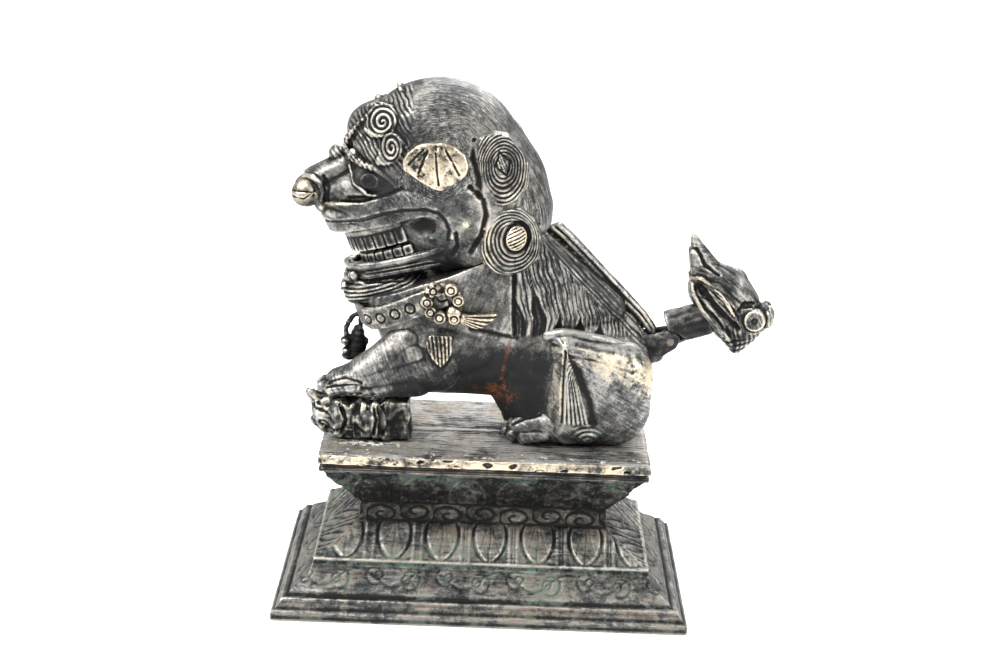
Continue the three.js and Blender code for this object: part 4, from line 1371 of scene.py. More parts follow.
    def _lower_curls(self, shop: Workshop) -> None:
        """Ringed curls at the jaw's hinge, with a bright striped boss and a ragged front."""
        outline = (
            (-1, 74.6), (2.6, 78.6), (7.8, 80), (12.2, 76.6), (14, 71.8), (13.6, 65.6), (9.8, 61.6),
            (5.6, 60.2), (1.6, 60.8), (-1.6, 63.4), (-2.4, 67.2), (-2, 71),
        )
        for name, side in SIDES:
            rim = (
                [Ball(x, side * 18.6, z, 1.3) for x, z in outline]
                + [Ball(x, side * 15, z, 1.6) for x, z in outline]
            )
            skins = [rim, [Ball(6.6, side * 17.2, 71, 6.6, 3.9, 8)]]
            skins += [
                [
                    Ball(-2.2 + 0.18 * k * k, side * 18, 74 - 2.6 * k, 1.3, 1.9, 1),
                    Ball(3, side * 17.6, 73 - 2.3 * k, 1.6)
                ]
                for k in range(6)
            ]
            clay = model(skins, 0.28, soften=2, seed=26)
            out = rise(clay.normal[:, 1] * side, 0.1, 0.45)
            place = self._ring_place(clay, (5.6, 70.0, 9.6, 11.2), (7.6, 71.6))
            swirl = place - 0.05 * np.arctan2(clay.z - 71.6, clay.x - 7.6) / math.pi
            rings = furrows(swirl + 0.022 * clay.lumps(2.5), 0.108, 1.1) * rise(place, 0.42, 0.48)
            boss = clay.oval((7.6, 71.6), (3.1, 3.9), -15)
            stripes = furrows((clay.z - 71.6) * 0.88 - (clay.x - 7.6) * 0.47, 1.05, 1.2) * (boss < 0.95)
            relief = -0.42 * rings - 1.2 * hump(boss - 1.28, 0.30) + 0.8 * hump(boss, 1.15) - 0.4 * stripes
            clay.push(out * relief)
            clay.paint("brass", 0.62 * (boss < 1.05) + 0.36 * rise(1.5 - clay.x, 0, 3))
            clay.paint("green", 0.42 * rise(66 - clay.z, 0, 5))
            clay.comb(place * 9, np.arctan2(clay.z - 71, clay.x - 7) * 5, out * 0.6, 2)
            shop.deliver(f"{name}_lower_curl_casting", clay, Slot.FIGURE, [f"{name}_lower_curl"])

    def _tooth_row(
        self, depth: float, half_span: float, low: float, high: float, count: int, bite_low: bool,
        name: str, node: str, shop: Workshop,
    ) -> None:
        """A horseshoe of separate teeth on a gum strip.

        Args:
            depth: How far the row reaches forward.
            half_span: Half its width at the back.
            low: Lower edge, from the bite line.
            high: Upper edge.
            count: Teeth in the row.
            bite_low: True where the teeth bite downwards.
            name: The piece's name.
            node: The CAD node that it stands for.
            shop: Where it goes.
        """
        tilt, sweep, thick = math.radians(21.0), math.radians(150.0), 2.6
        bm = bmesh.new()
        gum = []
        turns = np.linspace(math.pi - sweep / 2, math.pi + sweep / 2, 400)
        speed = np.hypot(depth * np.sin(turns), half_span * np.cos(turns))
        walked = np.cumsum(speed) / np.sum(speed)
        width = float(np.sum(speed)) * (turns[1] - turns[0]) / count
        for k in range(count):
            turn = float(np.interp((k + 0.5) / count, walked, turns))
            x, y = (depth - thick / 2) * math.cos(turn), (half_span - thick / 2) * math.sin(turn)
            heading = math.atan2(math.sin(turn) / half_span, math.cos(turn) / depth)
            size = Matrix.Diagonal((thick, width - 0.55, (high - low) * 0.68, 1.0))
            middle = low + (high - low) * (0.34 if bite_low else 0.66)
            place = Matrix.Translation((x, y, middle)) @ Matrix.Rotation(heading, 4, "Z") @ size
            made = bmesh.ops.create_cube(bm, size=1.0, matrix=place)
            edges = {edge for vert in made["verts"] for edge in vert.link_edges}
            bmesh.ops.bevel(
                bm, geom=list(edges), offset=0.45, affect="EDGES", segments=2, profile=0.5, material=-1
            )
            gum.append((x * 0.99, y * 0.99, low + (high - low) * (0.8 if bite_low else 0.2)))
        radius = (high - low) * 0.24
        for balls in coil(gum, radius):
            add_skin(bm, balls)
        tilted = (
            Matrix.Translation((self.x - 3.0, 0.0, self.z - 18.5)) @ Matrix.Rotation(tilt * -1.0, 4, "Y")
        )
        bmesh.ops.transform(bm, matrix=tilted, verts=bm.verts)
        steps = [
            ("REMESH", {"mode": "VOXEL", "voxel_size": 0.24 * COARSE}),
            ("SMOOTH", {"factor": 0.5, "iterations": 1})
        ]
        clay = Clay(evaluated(mesh_of(bm, name), steps), seed=27)
        clay.paint("dark", 0.12 + 0.3 * clay.lumps(1.5))
        shop.deliver(name, clay, Slot.FIGURE, [node], relief=1.6)

    def _teeth(self, shop: Workshop) -> None:
        """Both rows of teeth."""
        self._tooth_row(27.6, 15.4, -1.6, 6.0, 14, True, "upper_tooth_row", "upper_teeth", shop)
        self._tooth_row(25.4, 14.6, -7.6, -2.9, 14, False, "lower_tooth_row", "lower_teeth", shop)

    def _jaw(self, shop: Workshop) -> None:
        """The lower jaw, its lip and the grooved beard under it."""
        lip = (
            (-47.2, 0, 56.6), (-45.8, -4.6, 56.6), (-42, -8, 57.2), (-36, -10.6, 58.8), (-28, -13.2, 61.4),
            (-20, -15.6, 64.4), (-12, -17.2, 68.6)
        )
        skins = [
            [Ball(-40, 0, 54.5, 6, 8.4, 2.6), Ball(-19, 0, 60.5, 8, 13.8, 3.6)],
            [Ball(-41, 0, 48.8, 5.4, 8, 4.6), Ball(-27, 0, 51.4, 8, 11.6, 4.4)],
            [Ball(-44, 0, 46.6, 4.6, 6, 4.4), Ball(-34, 0, 46.8, 6, 9, 3.4)],
        ]
        skins += both(coil(lip, 1.55, 1.2))
        skins += both(
            [[Ball(-46.4, -2.6, 52.6, 2.2, 2.6, 2.2)], [Ball(-48, -1.6, 48.6, 1.7, 2.2, 2.2)],
            [Ball(-45, -5.4, 53.6, 1.8, 1.8, 1.8)]]
        )
        clay = model(skins, 0.34, soften=2, mirrored=True, seed=28)
        beard = rise(52.5 - clay.z + 0.28 * (clay.x + 40), 0, 2)
        strands = clay.z - 0.30 * (clay.x + 42.0) - 0.012 * (clay.x + 40.0) ** 2
        relief = -0.55 * furrows(strands, 1.5, 1.5) * beard
        relief += clay.line(
            ((-46, -3, 54.2), (-40, -9.2, 54.6), (-30, -12.4, 57.4), (-18, -14.8, 61.6)), 1.2, -0.7
        )
        relief += clay.line(((-46, -3, 51.2), (-40, -8.6, 51.4), (-30, -12, 54), (-20, -14, 58)), 0.9, 0.35)
        clay.push(relief)
        clay.comb(strands, clay.x, 0.7 * beard, 1.6)
        clay.paint("brass", 0.1 * beard)
        # Painted shade: darker on the jaw's downward faces and at its back under the head.
        clay.paint(
            "dark", 0.5 * rise(-clay.normal[:, 2], 0, 0.6) + 0.5 * rise(clay.x, -30, -22) * (1.0 - beard)
        )
        shop.deliver("jaw_casting", clay, Slot.FIGURE, ["lower_jaw"])


# --- body and legs


@dataclass
class BodyCasting:
    """The seated body with its spine, hair locks and collar."""

    lock_pitch: float = 6.4
    strand_pitch: float = 1.5
    spine: tuple = ((17, 0, 74), (24, 0, 68.2), (33, 0, 59.4), (42, 0, 50.4), (50, 0, 42.4), (53.6, 0, 37.6))

    def build(self, shop: Workshop) -> None:
        """Makes the body, the collar, its ornaments and the bell on the chest."""
        self._casting(shop)
        self._collar(shop)
        self._ornaments(shop)
        self._pendant(shop)

    @staticmethod
    def core_skins() -> list[Skin]:
        """The body's main masses."""
        belly = Ball(8, 0, 30, 14, 15, 17)
        return [
            [
                Ball(-29, 0, 45, 12.5, 14, 10), Ball(-12, 0, 60, 18, 19, 12), Ball(8, 0, 66, 10.5, 15, 8),
                Ball(-18, 0, 30, 15, 15, 17), belly, Ball(36, 0, 44, 8.5, 10, 8.5),
            ],
            [belly, Ball(30.5, 0, 24.5, 24, 15, 24), Ball(38, 0, 14.4, 14, 15, 14),
                Ball(14, 0, 10.3, 9.5, 13, 9.9)],
        ]

    def _casting(self, shop: Workshop) -> None:
        """The body itself."""
        skins = self.core_skins() + coil(self.spine, 2.3, 1.7)
        skins += both([[Ball(-9, -12.4, 52, 12, 5.6, 9), Ball(2, -11, 50, 7, 5.4, 9)]])
        skins += both([[Ball(-16, -10.6, 33, 13.4, 7, 12), Ball(-2, -9.4, 34, 11, 6.4, 12)]])
        clay = model(
            skins, 0.43, [neck_cut(False), Plane((0, 0, 0.35), (0, 0, -1))], soften=3, mirrored=True, seed=31
        )
        x, z = clay.x, clay.z
        from_spine = 92.0 - x - z
        hair = (
            rise(from_spine, 7, 9.5) * rise(x, 7, 9) * rise(z, 36.5, 39)
            * rise(clay.normal[:, 2] * -1 + 0.9, 0, 0.2)
        )
        ridge = (
            rise(from_spine, 2, 3.2) * rise(9.5 - from_spine, 0, 1) * rise(x, 14, 18) * rise(-clay.y, 2, 4)
        )
        lean = x + 0.26 * np.clip(z - 44.0, 0.0, 40.0)
        across = lean + 0.7 * clay.lumps(4)
        number = np.floor(across / self.lock_pitch)
        lock = across / self.lock_pitch - number - 0.5
        tip = 0.30 + 0.22 * np.mod(number * 0.618, 1.0)
        fall = np.clip(from_spine - 8.0, 0.0, 60.0) / np.clip(92.0 - x - 38.0, 6.0, 60.0)
        open_width = 0.36 * rise(fall, tip, tip + 0.35) * (1.0 - rise(fall, 0.86, 1))
        recess = rise(open_width - np.abs(lock), -0.05, 0.08)
        strands = (
            furrows(across + 0.35 * clay.lumps(1.6), self.strand_pitch, 1.0) * (0.7 + 0.4 * clay.lumps(5))
        )
        relief = hair * (0.5 - 0.32 * strands - 0.8 * recess) + 0.12 * clay.lumps(2.5)
        relief += ridge * (0.25 - 0.18 * furrows(from_spine, 1.5, 1.5))
        for y, width, height in ((-2.6, 1.0, -0.9), (-6.2, 1.0, 0.3)):
            line = [(px, y, pz) for px, _, pz in self.spine]
            relief += clay.line(line, width, height, reach=9)
        relief += clay.line(((7.4, -15, 58), (7.6, -15, 48), (8.2, -15, 38.5)), 1.2, -0.9)
        relief += clay.line(((-6, -17.5, 40), (2, -16.5, 38.6), (9, -15, 37)), 1.4, -0.5)
        clay.push(relief)
        clay.comb(across, z, hair, 2.2)
        # Painted shade: the gaps between the locks, the region under the belly and the flank behind the
        # foreleg are darkened.
        clay.paint("dark", 0.75 * recess * hair)
        under = rise(39 - z - 0.2 * np.abs(x - 4), 0, 10) * rise(20 - np.abs(x - 3), 0, 6)
        clay.paint(
            "dark", under + 0.35 * rise(-clay.y, 8, 12) * hump(np.hypot((x + 2) / 10, (z - 46) / 9), 1)
        )
        clay.comb(from_spine, z - x, ridge * 0.8, 1.2)
        plain = (1.0 - hair) * (1.0 - ridge)
        clay.comb(x - 0.4 * z, z + x, plain * 0.3, 1)
        self._age(clay)
        shop.deliver("body_casting", clay, Slot.FIGURE, ["torso_shell"])

    @staticmethod
    def _age(clay: Clay) -> None:
        """Red copper under the belly and by the ornament."""
        under = hump(np.hypot((clay.x - 3) / 13, (clay.z - 17) / 7.5), 1)
        clay.paint("red", 0.55 * under)
        clay.paint("red", 0.5 * hump(clay.track(((6.5, -15, 36), (4, -15.5, 18)), 12)[0], 1.6))
        clay.paint("red", 0.42 * hump(np.hypot((clay.x + 3) / 6, (clay.z - 48.5) / 3), 1) * clay.flank)
        clay.paint("green", 0.35 * rise(clay.z, 40, 60) * rise(20 - clay.x, 0, 8) * rise(clay.x, 6, 9))

    def _collar(self, shop: Workshop) -> None:
        """The collar strap under the chin, set with ring studs."""
        tilt = math.radians(23.0)
        up = Vector((-math.sin(tilt), 0.0, math.cos(tilt)))
        path = [
            (-43.6, 0, 41.6), (-42.6, -5.0, 40.6), (-39.4, -10.2, 40.4), (-34.6, -13.8, 42.0),
            (-29.0, -16.0, 44.6), (-23.0, -17.6, 47.8), (-15.0, -18.2, 51.4)
        ]
        skins = []
        for first, second in zip(path, path[1:]):
            ends = []
            for point in (first, second):
                for side in (-3.1, 3.1):
                    place = Vector(point) + up * side
                    ends.append(Ball(place.x, place.y, place.z, 0.8))
            skins.append(ends)
        skins = both(skins)
        clay = model(skins, 0.28, soften=2, mirrored=True, seed=32)
        studs = spread(path, 5.6)[2:]
        relief = np.zeros(len(clay.x))
        for stud in studs:
            away = clay.at - stud
            out = np.sum(away * clay.normal, axis=1)
            flat = np.sqrt(np.maximum(np.sum(away * away, axis=1) - out * out, 0.0))
            relief -= 0.42 * hump(flat - 1.6, 0.5)
        relief += 0.1 * clay.lumps(1.5)
        clay.push(relief)
        clay.paint("brass", 0.34)
        shop.deliver("collar_strap", clay, Slot.FIGURE, ["collar"])

    def _ornaments(self, shop: Workshop) -> None:
        """The beaded rosettes on the shoulders, each with a fanned tassel."""
        cx, cz, cy = -15.2, 49.5, 19.6
        for name, side in SIDES:
            skins: list[Skin] = []
            for angle, radius in (
                (128, 2.9), (60, 2.3), (10, 2.1), (-45, 2.5), (-100, 2.4), (180, 2.3), (-140, 2.1)
            ):
                turn = math.radians(angle)
                skins.append(
                    [Ball(cx + 5 * math.cos(turn), side * (cy + 0.4), cz + 5 * math.sin(turn), radius, 1.9,
                    radius)]
                )
            ring = [
                (cx + 5.1 * math.cos(a), side * (cy - 0.4), cz + 5.1 * math.sin(a))
                for a in np.radians(np.arange(0, 361, 30))
            ]
            skins += coil(ring, 1.7)
            knot = Ball(cx + 6, side * (cy - 0.2), cz - 5.4, 2, 1.6, 2)
            swell = Ball(cx + 11.6, side * (cy - 1.2), cz - 6.4, 2.8, 1.7, 2.6)
            skins += [[knot, swell], [swell, Ball(cx + 16.2, side * (cy - 2.4), cz - 4.4, 1.6, 1.3, 1.5)]]
            skins.append([Ball(cx + 3.8, side * (cy + 0.5), cz - 5.2, 2.1, 1.9, 2.1)])
            clay = model(skins, 0.26, soften=1, seed=33)
            relief = np.zeros(len(clay.x))
            flat = np.hypot(clay.x - (cx - 3.1), clay.z - (cz + 3.9))
            petals = furrows(
                np.arctan2(clay.z - cz - 3.9, clay.x - cx + 3.1) * 5.0 / (2 * math.pi), 1.0, 1.5
            )
            relief += -0.5 * petals * hump(flat - 2.2, 1.2) - 0.5 * hump(flat - 1.1, 0.45)
            for angle in (60, 10, -100, 180, -140):
                turn = math.radians(angle)
                bead = np.hypot(clay.x - cx - 5.0 * math.cos(turn), clay.z - cz - 5.0 * math.sin(turn))
                relief += -0.45 * hump(bead - 1.2, 0.45)
            fan = np.degrees(np.arctan2(clay.z - cz + 4.0, clay.x - cx - 3.0))
            relief -= 0.4 * furrows(fan + 4.0, 8.0, 1.3) * rise(clay.x, cx + 6.4, cx + 7.6)
            relief += 0.08 * clay.lumps(1)
            bead = np.hypot(clay.x - cx - 3.8, clay.z - cz + 5.2)
            relief += -0.5 * hump(bead - 1.15, 0.4)
            clay.push(relief)
            clay.paint("brass", 0.5 + 0.25 * clay.lumps(2.5))
            shop.deliver(f"{name}_ornament_casting", clay, Slot.BRASS, [f"{name}_ornament"])

    def _pendant(self, shop: Workshop) -> None:
        """A bell on a strap loop, hanging from the collar's front."""
        loop = (
            (-43.4, -1, 39.8), (-46, -1.2, 37.6), (-47.6, -1.2, 34.4), (-47.4, -1.2, 31.6), (-45, -1, 31),
            (-43, -0.8, 33.4), (-42.6, -0.6, 37), (-43, -0.6, 40)
        )
        skins = coil(loop, 0.95)
        skins += [
            [Ball(-47.6, -0.8, 29.6, 2, 2.2, 1.6)], [Ball(-47.2, -0.4, 26.6, 1.7, 2.2, 1.2),
            Ball(-46.6, 0, 24.2, 2.4, 2.6, 1.5)]
        ]
        skins += [
            [Ball(-43.6, 0.6, 32.4, 2.2, 2.6, 2.6), Ball(-43.9, 0.8, 27.6, 3.3, 3.2, 2.6)],
            [Ball(-44.2, 0.6, 24.8, 3.9, 3.2, 1.9)]
        ]
        skins += [[Ball(-40.9, 0.6, 29.4, 1, 1.6, 1.2)]]
        clay = model(skins, 0.24, soften=1, seed=34)
        clay.push(-0.2 * furrows(clay.z, 2.1, 2.0) + 0.12 * clay.lumps(1.2))
        # Painted shade: the bell and strap are darkened, all but their front tip.
        clay.paint("dark", 0.75 * rise(clay.x, -47.5, -46))
        shop.deliver("bell_pendant", clay, Slot.FIGURE, ["chest_pendant"])


@dataclass
class Legs:
    """The four legs and the cub under the left paw."""

    def build(self, shop: Workshop) -> None:
        """Makes all of them."""
        self._left_foreleg(shop)
        self._right_foreleg(shop)
        self._hind_legs(shop)
        self._cub(shop)

    @staticmethod
    def _toes(centres: Sequence[Point], back: float, radius: float, side: float) -> list[Skin]:
        """Rounded toes that run back into a paw."""
        return [
            [Ball(x, y * side, z, radius, radius * 0.85, radius),
            Ball(x + back, y * side, z + back * 0.22, radius * 1.1)] for x, y, z in centres
        ]

    def _shoulder_tuft(self, clay: Clay) -> Field:
        """A ribbed leaf on the shoulder."""
        across = clay.x + 15.8
        top, bottom = 36.6, 27.0
        t = np.clip((clay.z - bottom) / (top - bottom), 0.0, 1.3)
        half = 7.4 * np.clip(t, 0.0, 1.0) ** 0.75 * np.clip(1.25 - t, 0.0, 1.0) ** 0.35
        inside = (
            rise(half - np.abs(across - 0.4 * (1 - t)), 0, 0.7) * (clay.z > bottom) * (clay.z < top + 1.0)
            * clay.flank
        )
        ribs = furrows(across * (1.25 - 0.2 * t) + 0.12 * (clay.z - top), 1.35, 1.3)
        clay.paint("brass", 0.5 * inside)
        return inside * (0.8 - 0.45 * ribs)

    def _left_foreleg(self, shop: Workshop) -> None:
        """The raised foreleg, its paw on the cub."""
        skins = [
            [Ball(-17, -10, 36, 13, 7, 10), Ball(-17, -12, 26, 9, 6.5, 9)],
            [Ball(-17, -12, 26, 9, 6.5, 9), Ball(-36, -12, 22.5, 7, 6.4, 7)],
            [Ball(-24, -12, 30, 8, 6, 6), Ball(-36, -12, 23.5, 6.4, 6, 6)],
            [Ball(-36, -12, 22.5, 6.4, 6.4, 6.6), Ball(-46, -12.5, 20.6, 7, 6.2, 3.8)],
            [Ball(-36, -12, 18.5, 5, 6, 4), Ball(-24, -12, 22, 8, 6, 7)],
            [Ball(-24, -10.5, 35, 9, 6, 5.2), Ball(-31, -11.4, 28.4, 8.5, 6.2, 5.6)],
            [Ball(-31, -11.4, 28.4, 8.5, 6.2, 5.2), Ball(-40, -12.2, 23.6, 6.4, 6.2, 4.4)],
        ]
        skins.append([Ball(-49, -12.5, 18.2, 6.2, 6, 3), Ball(-40, -12.2, 17.6, 6, 6, 3.2)])
        toes = [(-53.4, 8.6, 18.2), (-54.4, 11.6, 18.4), (-54.0, 14.8, 18.0), (-50.8, 17.2, 17.4)]
        skins += self._toes(toes, 8.0, 1.9, -1.0)
        clay = model(skins, 0.36, soften=3, seed=41)
        relief = self._shoulder_tuft(clay)
        out = clay.flank
        for z0 in (20.6, 18.6, 16.6):
            relief += clay.line(
                ((-52, -17.5, z0), (-46, -17.5, z0 + 1.4), (-41, -17, z0 + 0.6)), 0.75, -0.45
            )
        for x0 in (-44.0, -41.6, -39.2, -36.8):
            relief += clay.line(((x0, -17.4, 16.6), (x0 - 3.2, -17.4, 13.6)), 0.7, -0.4)
        clay.push(relief + 0.16 * clay.lumps(2.4))
        clay.comb(clay.x * 0.8 + clay.z * 0.35, clay.z, 0.5 * out, 1.6)
        clay.paint("pale", 0.28 * rise(-clay.x, 24, 40))
        # Painted shade: darker under the elbow, where the leg meets the body.
        clay.paint("dark", 0.9 * rise(27 - clay.z + 0.35 * (clay.x + 22), 0, 8) * rise(clay.x, -34, -24))
        clay.paint(
            "brass", 0.16 * rise(-clay.x, 24, 36) + 0.18
            * hump(np.hypot((clay.x + 27) / 6, (clay.z - 26) / 4), 1)
        )
        shop.deliver("left_foreleg_casting", clay, Slot.FIGURE, ["left_foreleg"])

    def _right_foreleg(self, shop: Workshop) -> None:
        """The standing foreleg, its paw on the slab."""
        skins = [
            [Ball(-17, 10, 36, 13, 7, 10), Ball(-20, 12, 24, 8, 6.5, 9)],
            [Ball(-20, 12, 24, 8, 6.5, 9), Ball(-30, 12, 11, 6, 6, 6.5)],
            [Ball(-30, 12, 11, 6, 6, 6.5), Ball(-35, 12, 5, 7, 6.2, 4.3)],
        ]
        skins += self._toes(
            [(-41.8, 7.8, 3.0), (-42.8, 11.0, 3.0), (-42.4, 14.4, 3.0), (-40.0, 17.0, 2.9)], 7.0, 2.4, 1.0
        )
        clay = model(skins, 0.38, [Plane((0, 0, 0.3), (0, 0, -1))], soften=3, seed=42)
        clay.mirrored = True
        clay.refresh()
        relief = self._shoulder_tuft(clay)
        clay.push(relief + 0.16 * clay.lumps(2.4))
        # Painted shade: the far foreleg is darkened, most towards its foot.
        clay.paint("dark", 0.6 * rise(30 - clay.z, 0, 20))
        clay.comb(clay.x * 0.8 + clay.z * 0.35, clay.z, 0.35 * clay.flank, 1.2)
        shop.deliver("right_foreleg_casting", clay, Slot.FIGURE, ["right_foreleg"])

    def _hind_skins(self, side: float) -> list[Skin]:
        """A folded hind leg with its foot."""
        ridge = ((19, -12.6, 37.6), (24, -14.2, 39), (33, -14.2, 38.2), (43, -12, 35), (50.6, -8.4, 31.4))
        skins = [
            [
                Ball(25.4, -12, 30.6, 8.5, 7.5, 9.3), Ball(44, -11, 24, 10.5, 8, 12),
                    Ball(42, -11, 14, 12, 7, 13.7),
                Ball(27, -12, 9.2, 8, 7, 8.8), Ball(24, -11.5, 20, 7, 7.3, 12),
            ],
            [Ball(29, -11, 5.1, 6.5, 4.5, 4.8), Ball(15, -9.6, 5.4, 8, 5.2, 5.1)],
            [Ball(24, -11.2, 6.4, 8, 5.4, 6.1), Ball(16, -9.4, 5.6, 7.5, 5.2, 5.3)],
            [Ball(33, -14, 6, 5.2, 4.4, 4.4)],
        ]
        skins += coil(ridge, 1.9, 1.4)
        toes = self._toes(
            [(7.6, 5.6, 3.2), (7.2, 8.8, 3.0), (9.0, 11.8, 2.7), (12.6, 13.6, 2.4)], 7.0, 2.3, -1.0
        )
        return skins + toes if side < 0 else [[ball.across() for ball in skin] for skin in skins + toes]

    def _hind_legs(self, shop: Workshop) -> None:
        """Both hind legs, each with a rubbed haunch, a grooved tuft and a curl at the ankle."""
        for name, side in SIDES:
            facet = Plane((19.2, side * 13.2, 20), (-0.70, side * 0.71, 0))
            bm_cuts = [Plane((0, 0, 0.3), (0, 0, -1))]
            skins = self._hind_skins(side)
            clay = self._with_facet(skins, facet, bm_cuts)
            clay.mirrored = True
            clay.refresh()
            x, z = clay.x, clay.z
            out = clay.flank
            t = np.clip((34.0 - z) / 25.0, 0.0, 1.0)
            left, right = 24.6 + 0.3 * t, 24.9 + 9.0 * t ** 0.75
            inside = rise(x - left, 0, 0.8) * rise(right - x, 0, 0.8) * rise(z, 8.6, 10) * (z < 34.5) * out
            ribs = furrows((x - left) / np.clip(right - left, 1.0, 20.0) * 6.0, 1.0, 1.0)
            relief = inside * (0.6 - 0.38 * ribs)
            relief += clay.line(
                ((25.6, -18.8, 33.6), (29.5, -19, 27), (33.2, -19, 18), (35, -18.8, 10)), 2.4, -0.9
            )
            relief += clay.line(((24.2, -18.6, 34), (24, -18.6, 22), (24.2, -18.6, 10)), 0.8, -0.7)
            relief += clay.line(
                ((20, -14, 35), (28, -16.5, 35.8), (40, -15, 32.6), (50, -11, 28.6)), 1.2, -0.4
            )
            relief += clay.line(((24, -17, 32.6), (34, -17.5, 31.2), (46, -15, 27)), 0.9, -0.25)
            arcs = np.hypot((x - 33.5) / 1.3, z - 3.6)
            ankle = hump(np.hypot((x - 33) / 1.4, z - 6.2), 4.6) * out
            relief += ankle * (0.5 - 0.7 * furrows(arcs, 1.6, 1.5))
            foot = rise(20 - x, 0, 4)
            for y0 in (7.2, 10.3, 12.9):
                relief += clay.line(
                    ((6.4, -y0, 5.6), (13, -y0 + 0.2, 8.6), (18, -y0 + 0.4, 9.6)), 0.8, -0.55, reach=5
                )
            clay.push(relief + 0.14 * clay.lumps(2.4) * (1.0 - inside))
            strokes = x * 0.55 + z * 0.85
            clay.comb(strokes, z - x, 0.45 * out * (1 - inside) * rise(34.5 - z, 0, 2), 1.4)
            worn_top = rise(z - 34.6 + 0.30 * (x - 24), -11, 0) * rise(38 - z - 0.20 * (x - 24), 0, 2)
            worn_front = rise(25.6 - x, 0, 1.4) * rise(z, 9, 14) * rise(37 - z, 0, 2)
            worn = np.maximum(0.42 * worn_top * rise(x, 18, 22), 0.46 * worn_front)
            clay.paint("brass", worn * (1 - foot * 0.9) + 0.20 * out * rise(z, 8, 20) * rise(x, 30, 40))
            clay.paint("brass", 0.18 * rise(x, 47, 53))
            clay.paint(
                "pale", (0.3 * (1.0 - foot) + 0.25 * hump(np.hypot((x - 40) / 12, (z - 26) / 9), 1))
                * (1.0 - inside)
            )
            # Painted shade: the hollow by the hock, the leg's bottom by the slab and the foot's base are
            # darkened.
            hollow = hump(np.hypot((x - 38) / 7, (z - 10) / 8), 1) * out
            clay.paint(
                "dark", 0.6 * hollow + 0.7 * rise(7 - z, 0, 5) * rise(x, 18, 26) + 0.4 * foot * (z < 4.0)
            )
            clay.paint("green", 0.55 * rise(11 - z, 0, 4) * rise(x, 22, 26))
            shop.deliver(f"{name}_hind_leg_casting", clay, Slot.FIGURE, [f"{name}_hind_leg"])

    @staticmethod
    def _with_facet(skins: list[Skin], facet: Plane, cuts: list[Plane]) -> Clay:
        """Models the leg with its haunch cut flat in front, and its foot left whole."""
        bm = bmesh.new()
        add_skin(bm, skins[0])
        cut_plane(bm, facet)
        haunch = mesh_of(bm, "haunch")
        whole = bmesh.new()
        whole.from_mesh(haunch)
        bpy.data.meshes.remove(haunch)
        for balls in skins[1:]:
            add_skin(whole, balls)
        for plane in cuts:
            cut_plane(whole, plane)
        steps = [
            ("REMESH", {"mode": "VOXEL", "voxel_size": 0.38 * COARSE}),
            ("SMOOTH", {"factor": 0.5, "iterations": 2})
        ]
        return Clay(evaluated(mesh_of(whole, "leg"), steps), seed=43)

    def _cub(self, shop: Workshop) -> None:
        """The cub lying on its back under the paw, with a curl at its cheek."""
        skins = [
            [Ball(-46, -12, 7.6, 8.6, 6.6, 7.3), Ball(-37, -11.6, 7.2, 6, 6.2, 6.6)],
            [Ball(-53, -12, 8.8, 4.6, 4.8, 6.2), Ball(-46, -12, 8.6, 5, 5.8, 6)],
            [Ball(-54, -12, 12, 3, 3, 3), Ball(-57.6, -12.6, 15.6, 1.7, 2.2, 1.5)],
            [Ball(-56, -11, 5.4, 2, 3, 2.2), Ball(-53, -12, 6, 3, 4, 4)],
            [Ball(-55.6, -12, 9.6, 1.6, 3.4, 1.4)],
            [Ball(-49, -17, 10.5, 1.8, 1.8, 3.6), Ball(-48, -16, 4.5, 2.2, 2, 3.2)],
            [Ball(-44, -17.2, 10.8, 1.7, 1.7, 3), Ball(-43.4, -16.6, 5, 1.8, 2, 3.8)],
            [Ball(-40.5, -16.6, 11, 1.6, 1.6, 2.6), Ball(-39.2, -16.2, 5.6, 2, 2, 3.4)],
            [Ball(-36.5, -15.6, 10.4, 1.8, 1.8, 3), Ball(-36, -15.2, 4, 2, 2, 2.8)],
        ]
        block = [Ball(x, y, z, 1) for x in (-33.4, -26.0) for y in (-15.0, -6.0) for z in (1.4, 12.6)]
        skins += [block, [Ball(-34, -12, 12, 2.2, 4, 2.2), Ball(-28, -12, 12.4, 2, 4, 1.8)]]
        clay = model(skins, 0.3, [Plane((0, 0, 0.3), (0, 0, -1))], soften=2, seed=44)
        x, z = clay.x, clay.z
        out = clay.flank
        spiral = np.hypot(x + 53.6, z - 5.6)
        turn = np.arctan2(z - 5.6, x + 53.6)
        relief = (
            -0.6 * furrows(spiral + 0.32 * turn, 2.0, 1.5) * hump(spiral, 4.2)
            * rise(-clay.normal[:, 1] - clay.normal[:, 0], 0.2, 0.7)
        )
        relief -= 0.9 * hump(np.hypot(x + 55, z - 12.4), 1.2) * out
        relief += clay.line(((-59, -13.5, 13.8), (-55, -15, 10.6), (-51, -16.5, 9.6)), 0.9, -0.7)
        for x0, lean, width in ((-47.6, 1.8, 1.0), (-42.4, -1.6, 1.9), (-37.2, 1.4, 0.9), (-34.6, 0.0, 1.6)):
            relief += clay.line(((x0, -18, 13), (x0 + lean, -18, 8), (x0 + 0.4, -17, 3)), width, -1.1)
        relief += clay.line(((-52, -16.5, 3.4), (-46, -17.5, 4.8), (-40, -17, 3.6)), 1.1, -0.6)
        relief += 0.8 * clay.lumps(2.4) + 0.3 * clay.lumps(1)
        clay.push(relief)
        clay.comb(x, z, 0.5 * out, 0.9)
        clay.paint("brass", 0.22 * rise(z, 10, 14) + 0.16)
        clay.paint("green", 0.3 * rise(8 - z, 0, 6))
        # Painted shade: the support block under the wrist and the lowest part by the slab are darkened.
        clay.paint("dark", 0.5 * rise(x, -37, -33) + 0.4 * rise(5 - z, 0, 4))
        clay.paint("crust", 0.35 * rise(2 - z, 0, 1.6) * out)
        shop.deliver("cub_casting", clay, Slot.FIGURE, ["cub"])


# --- tail


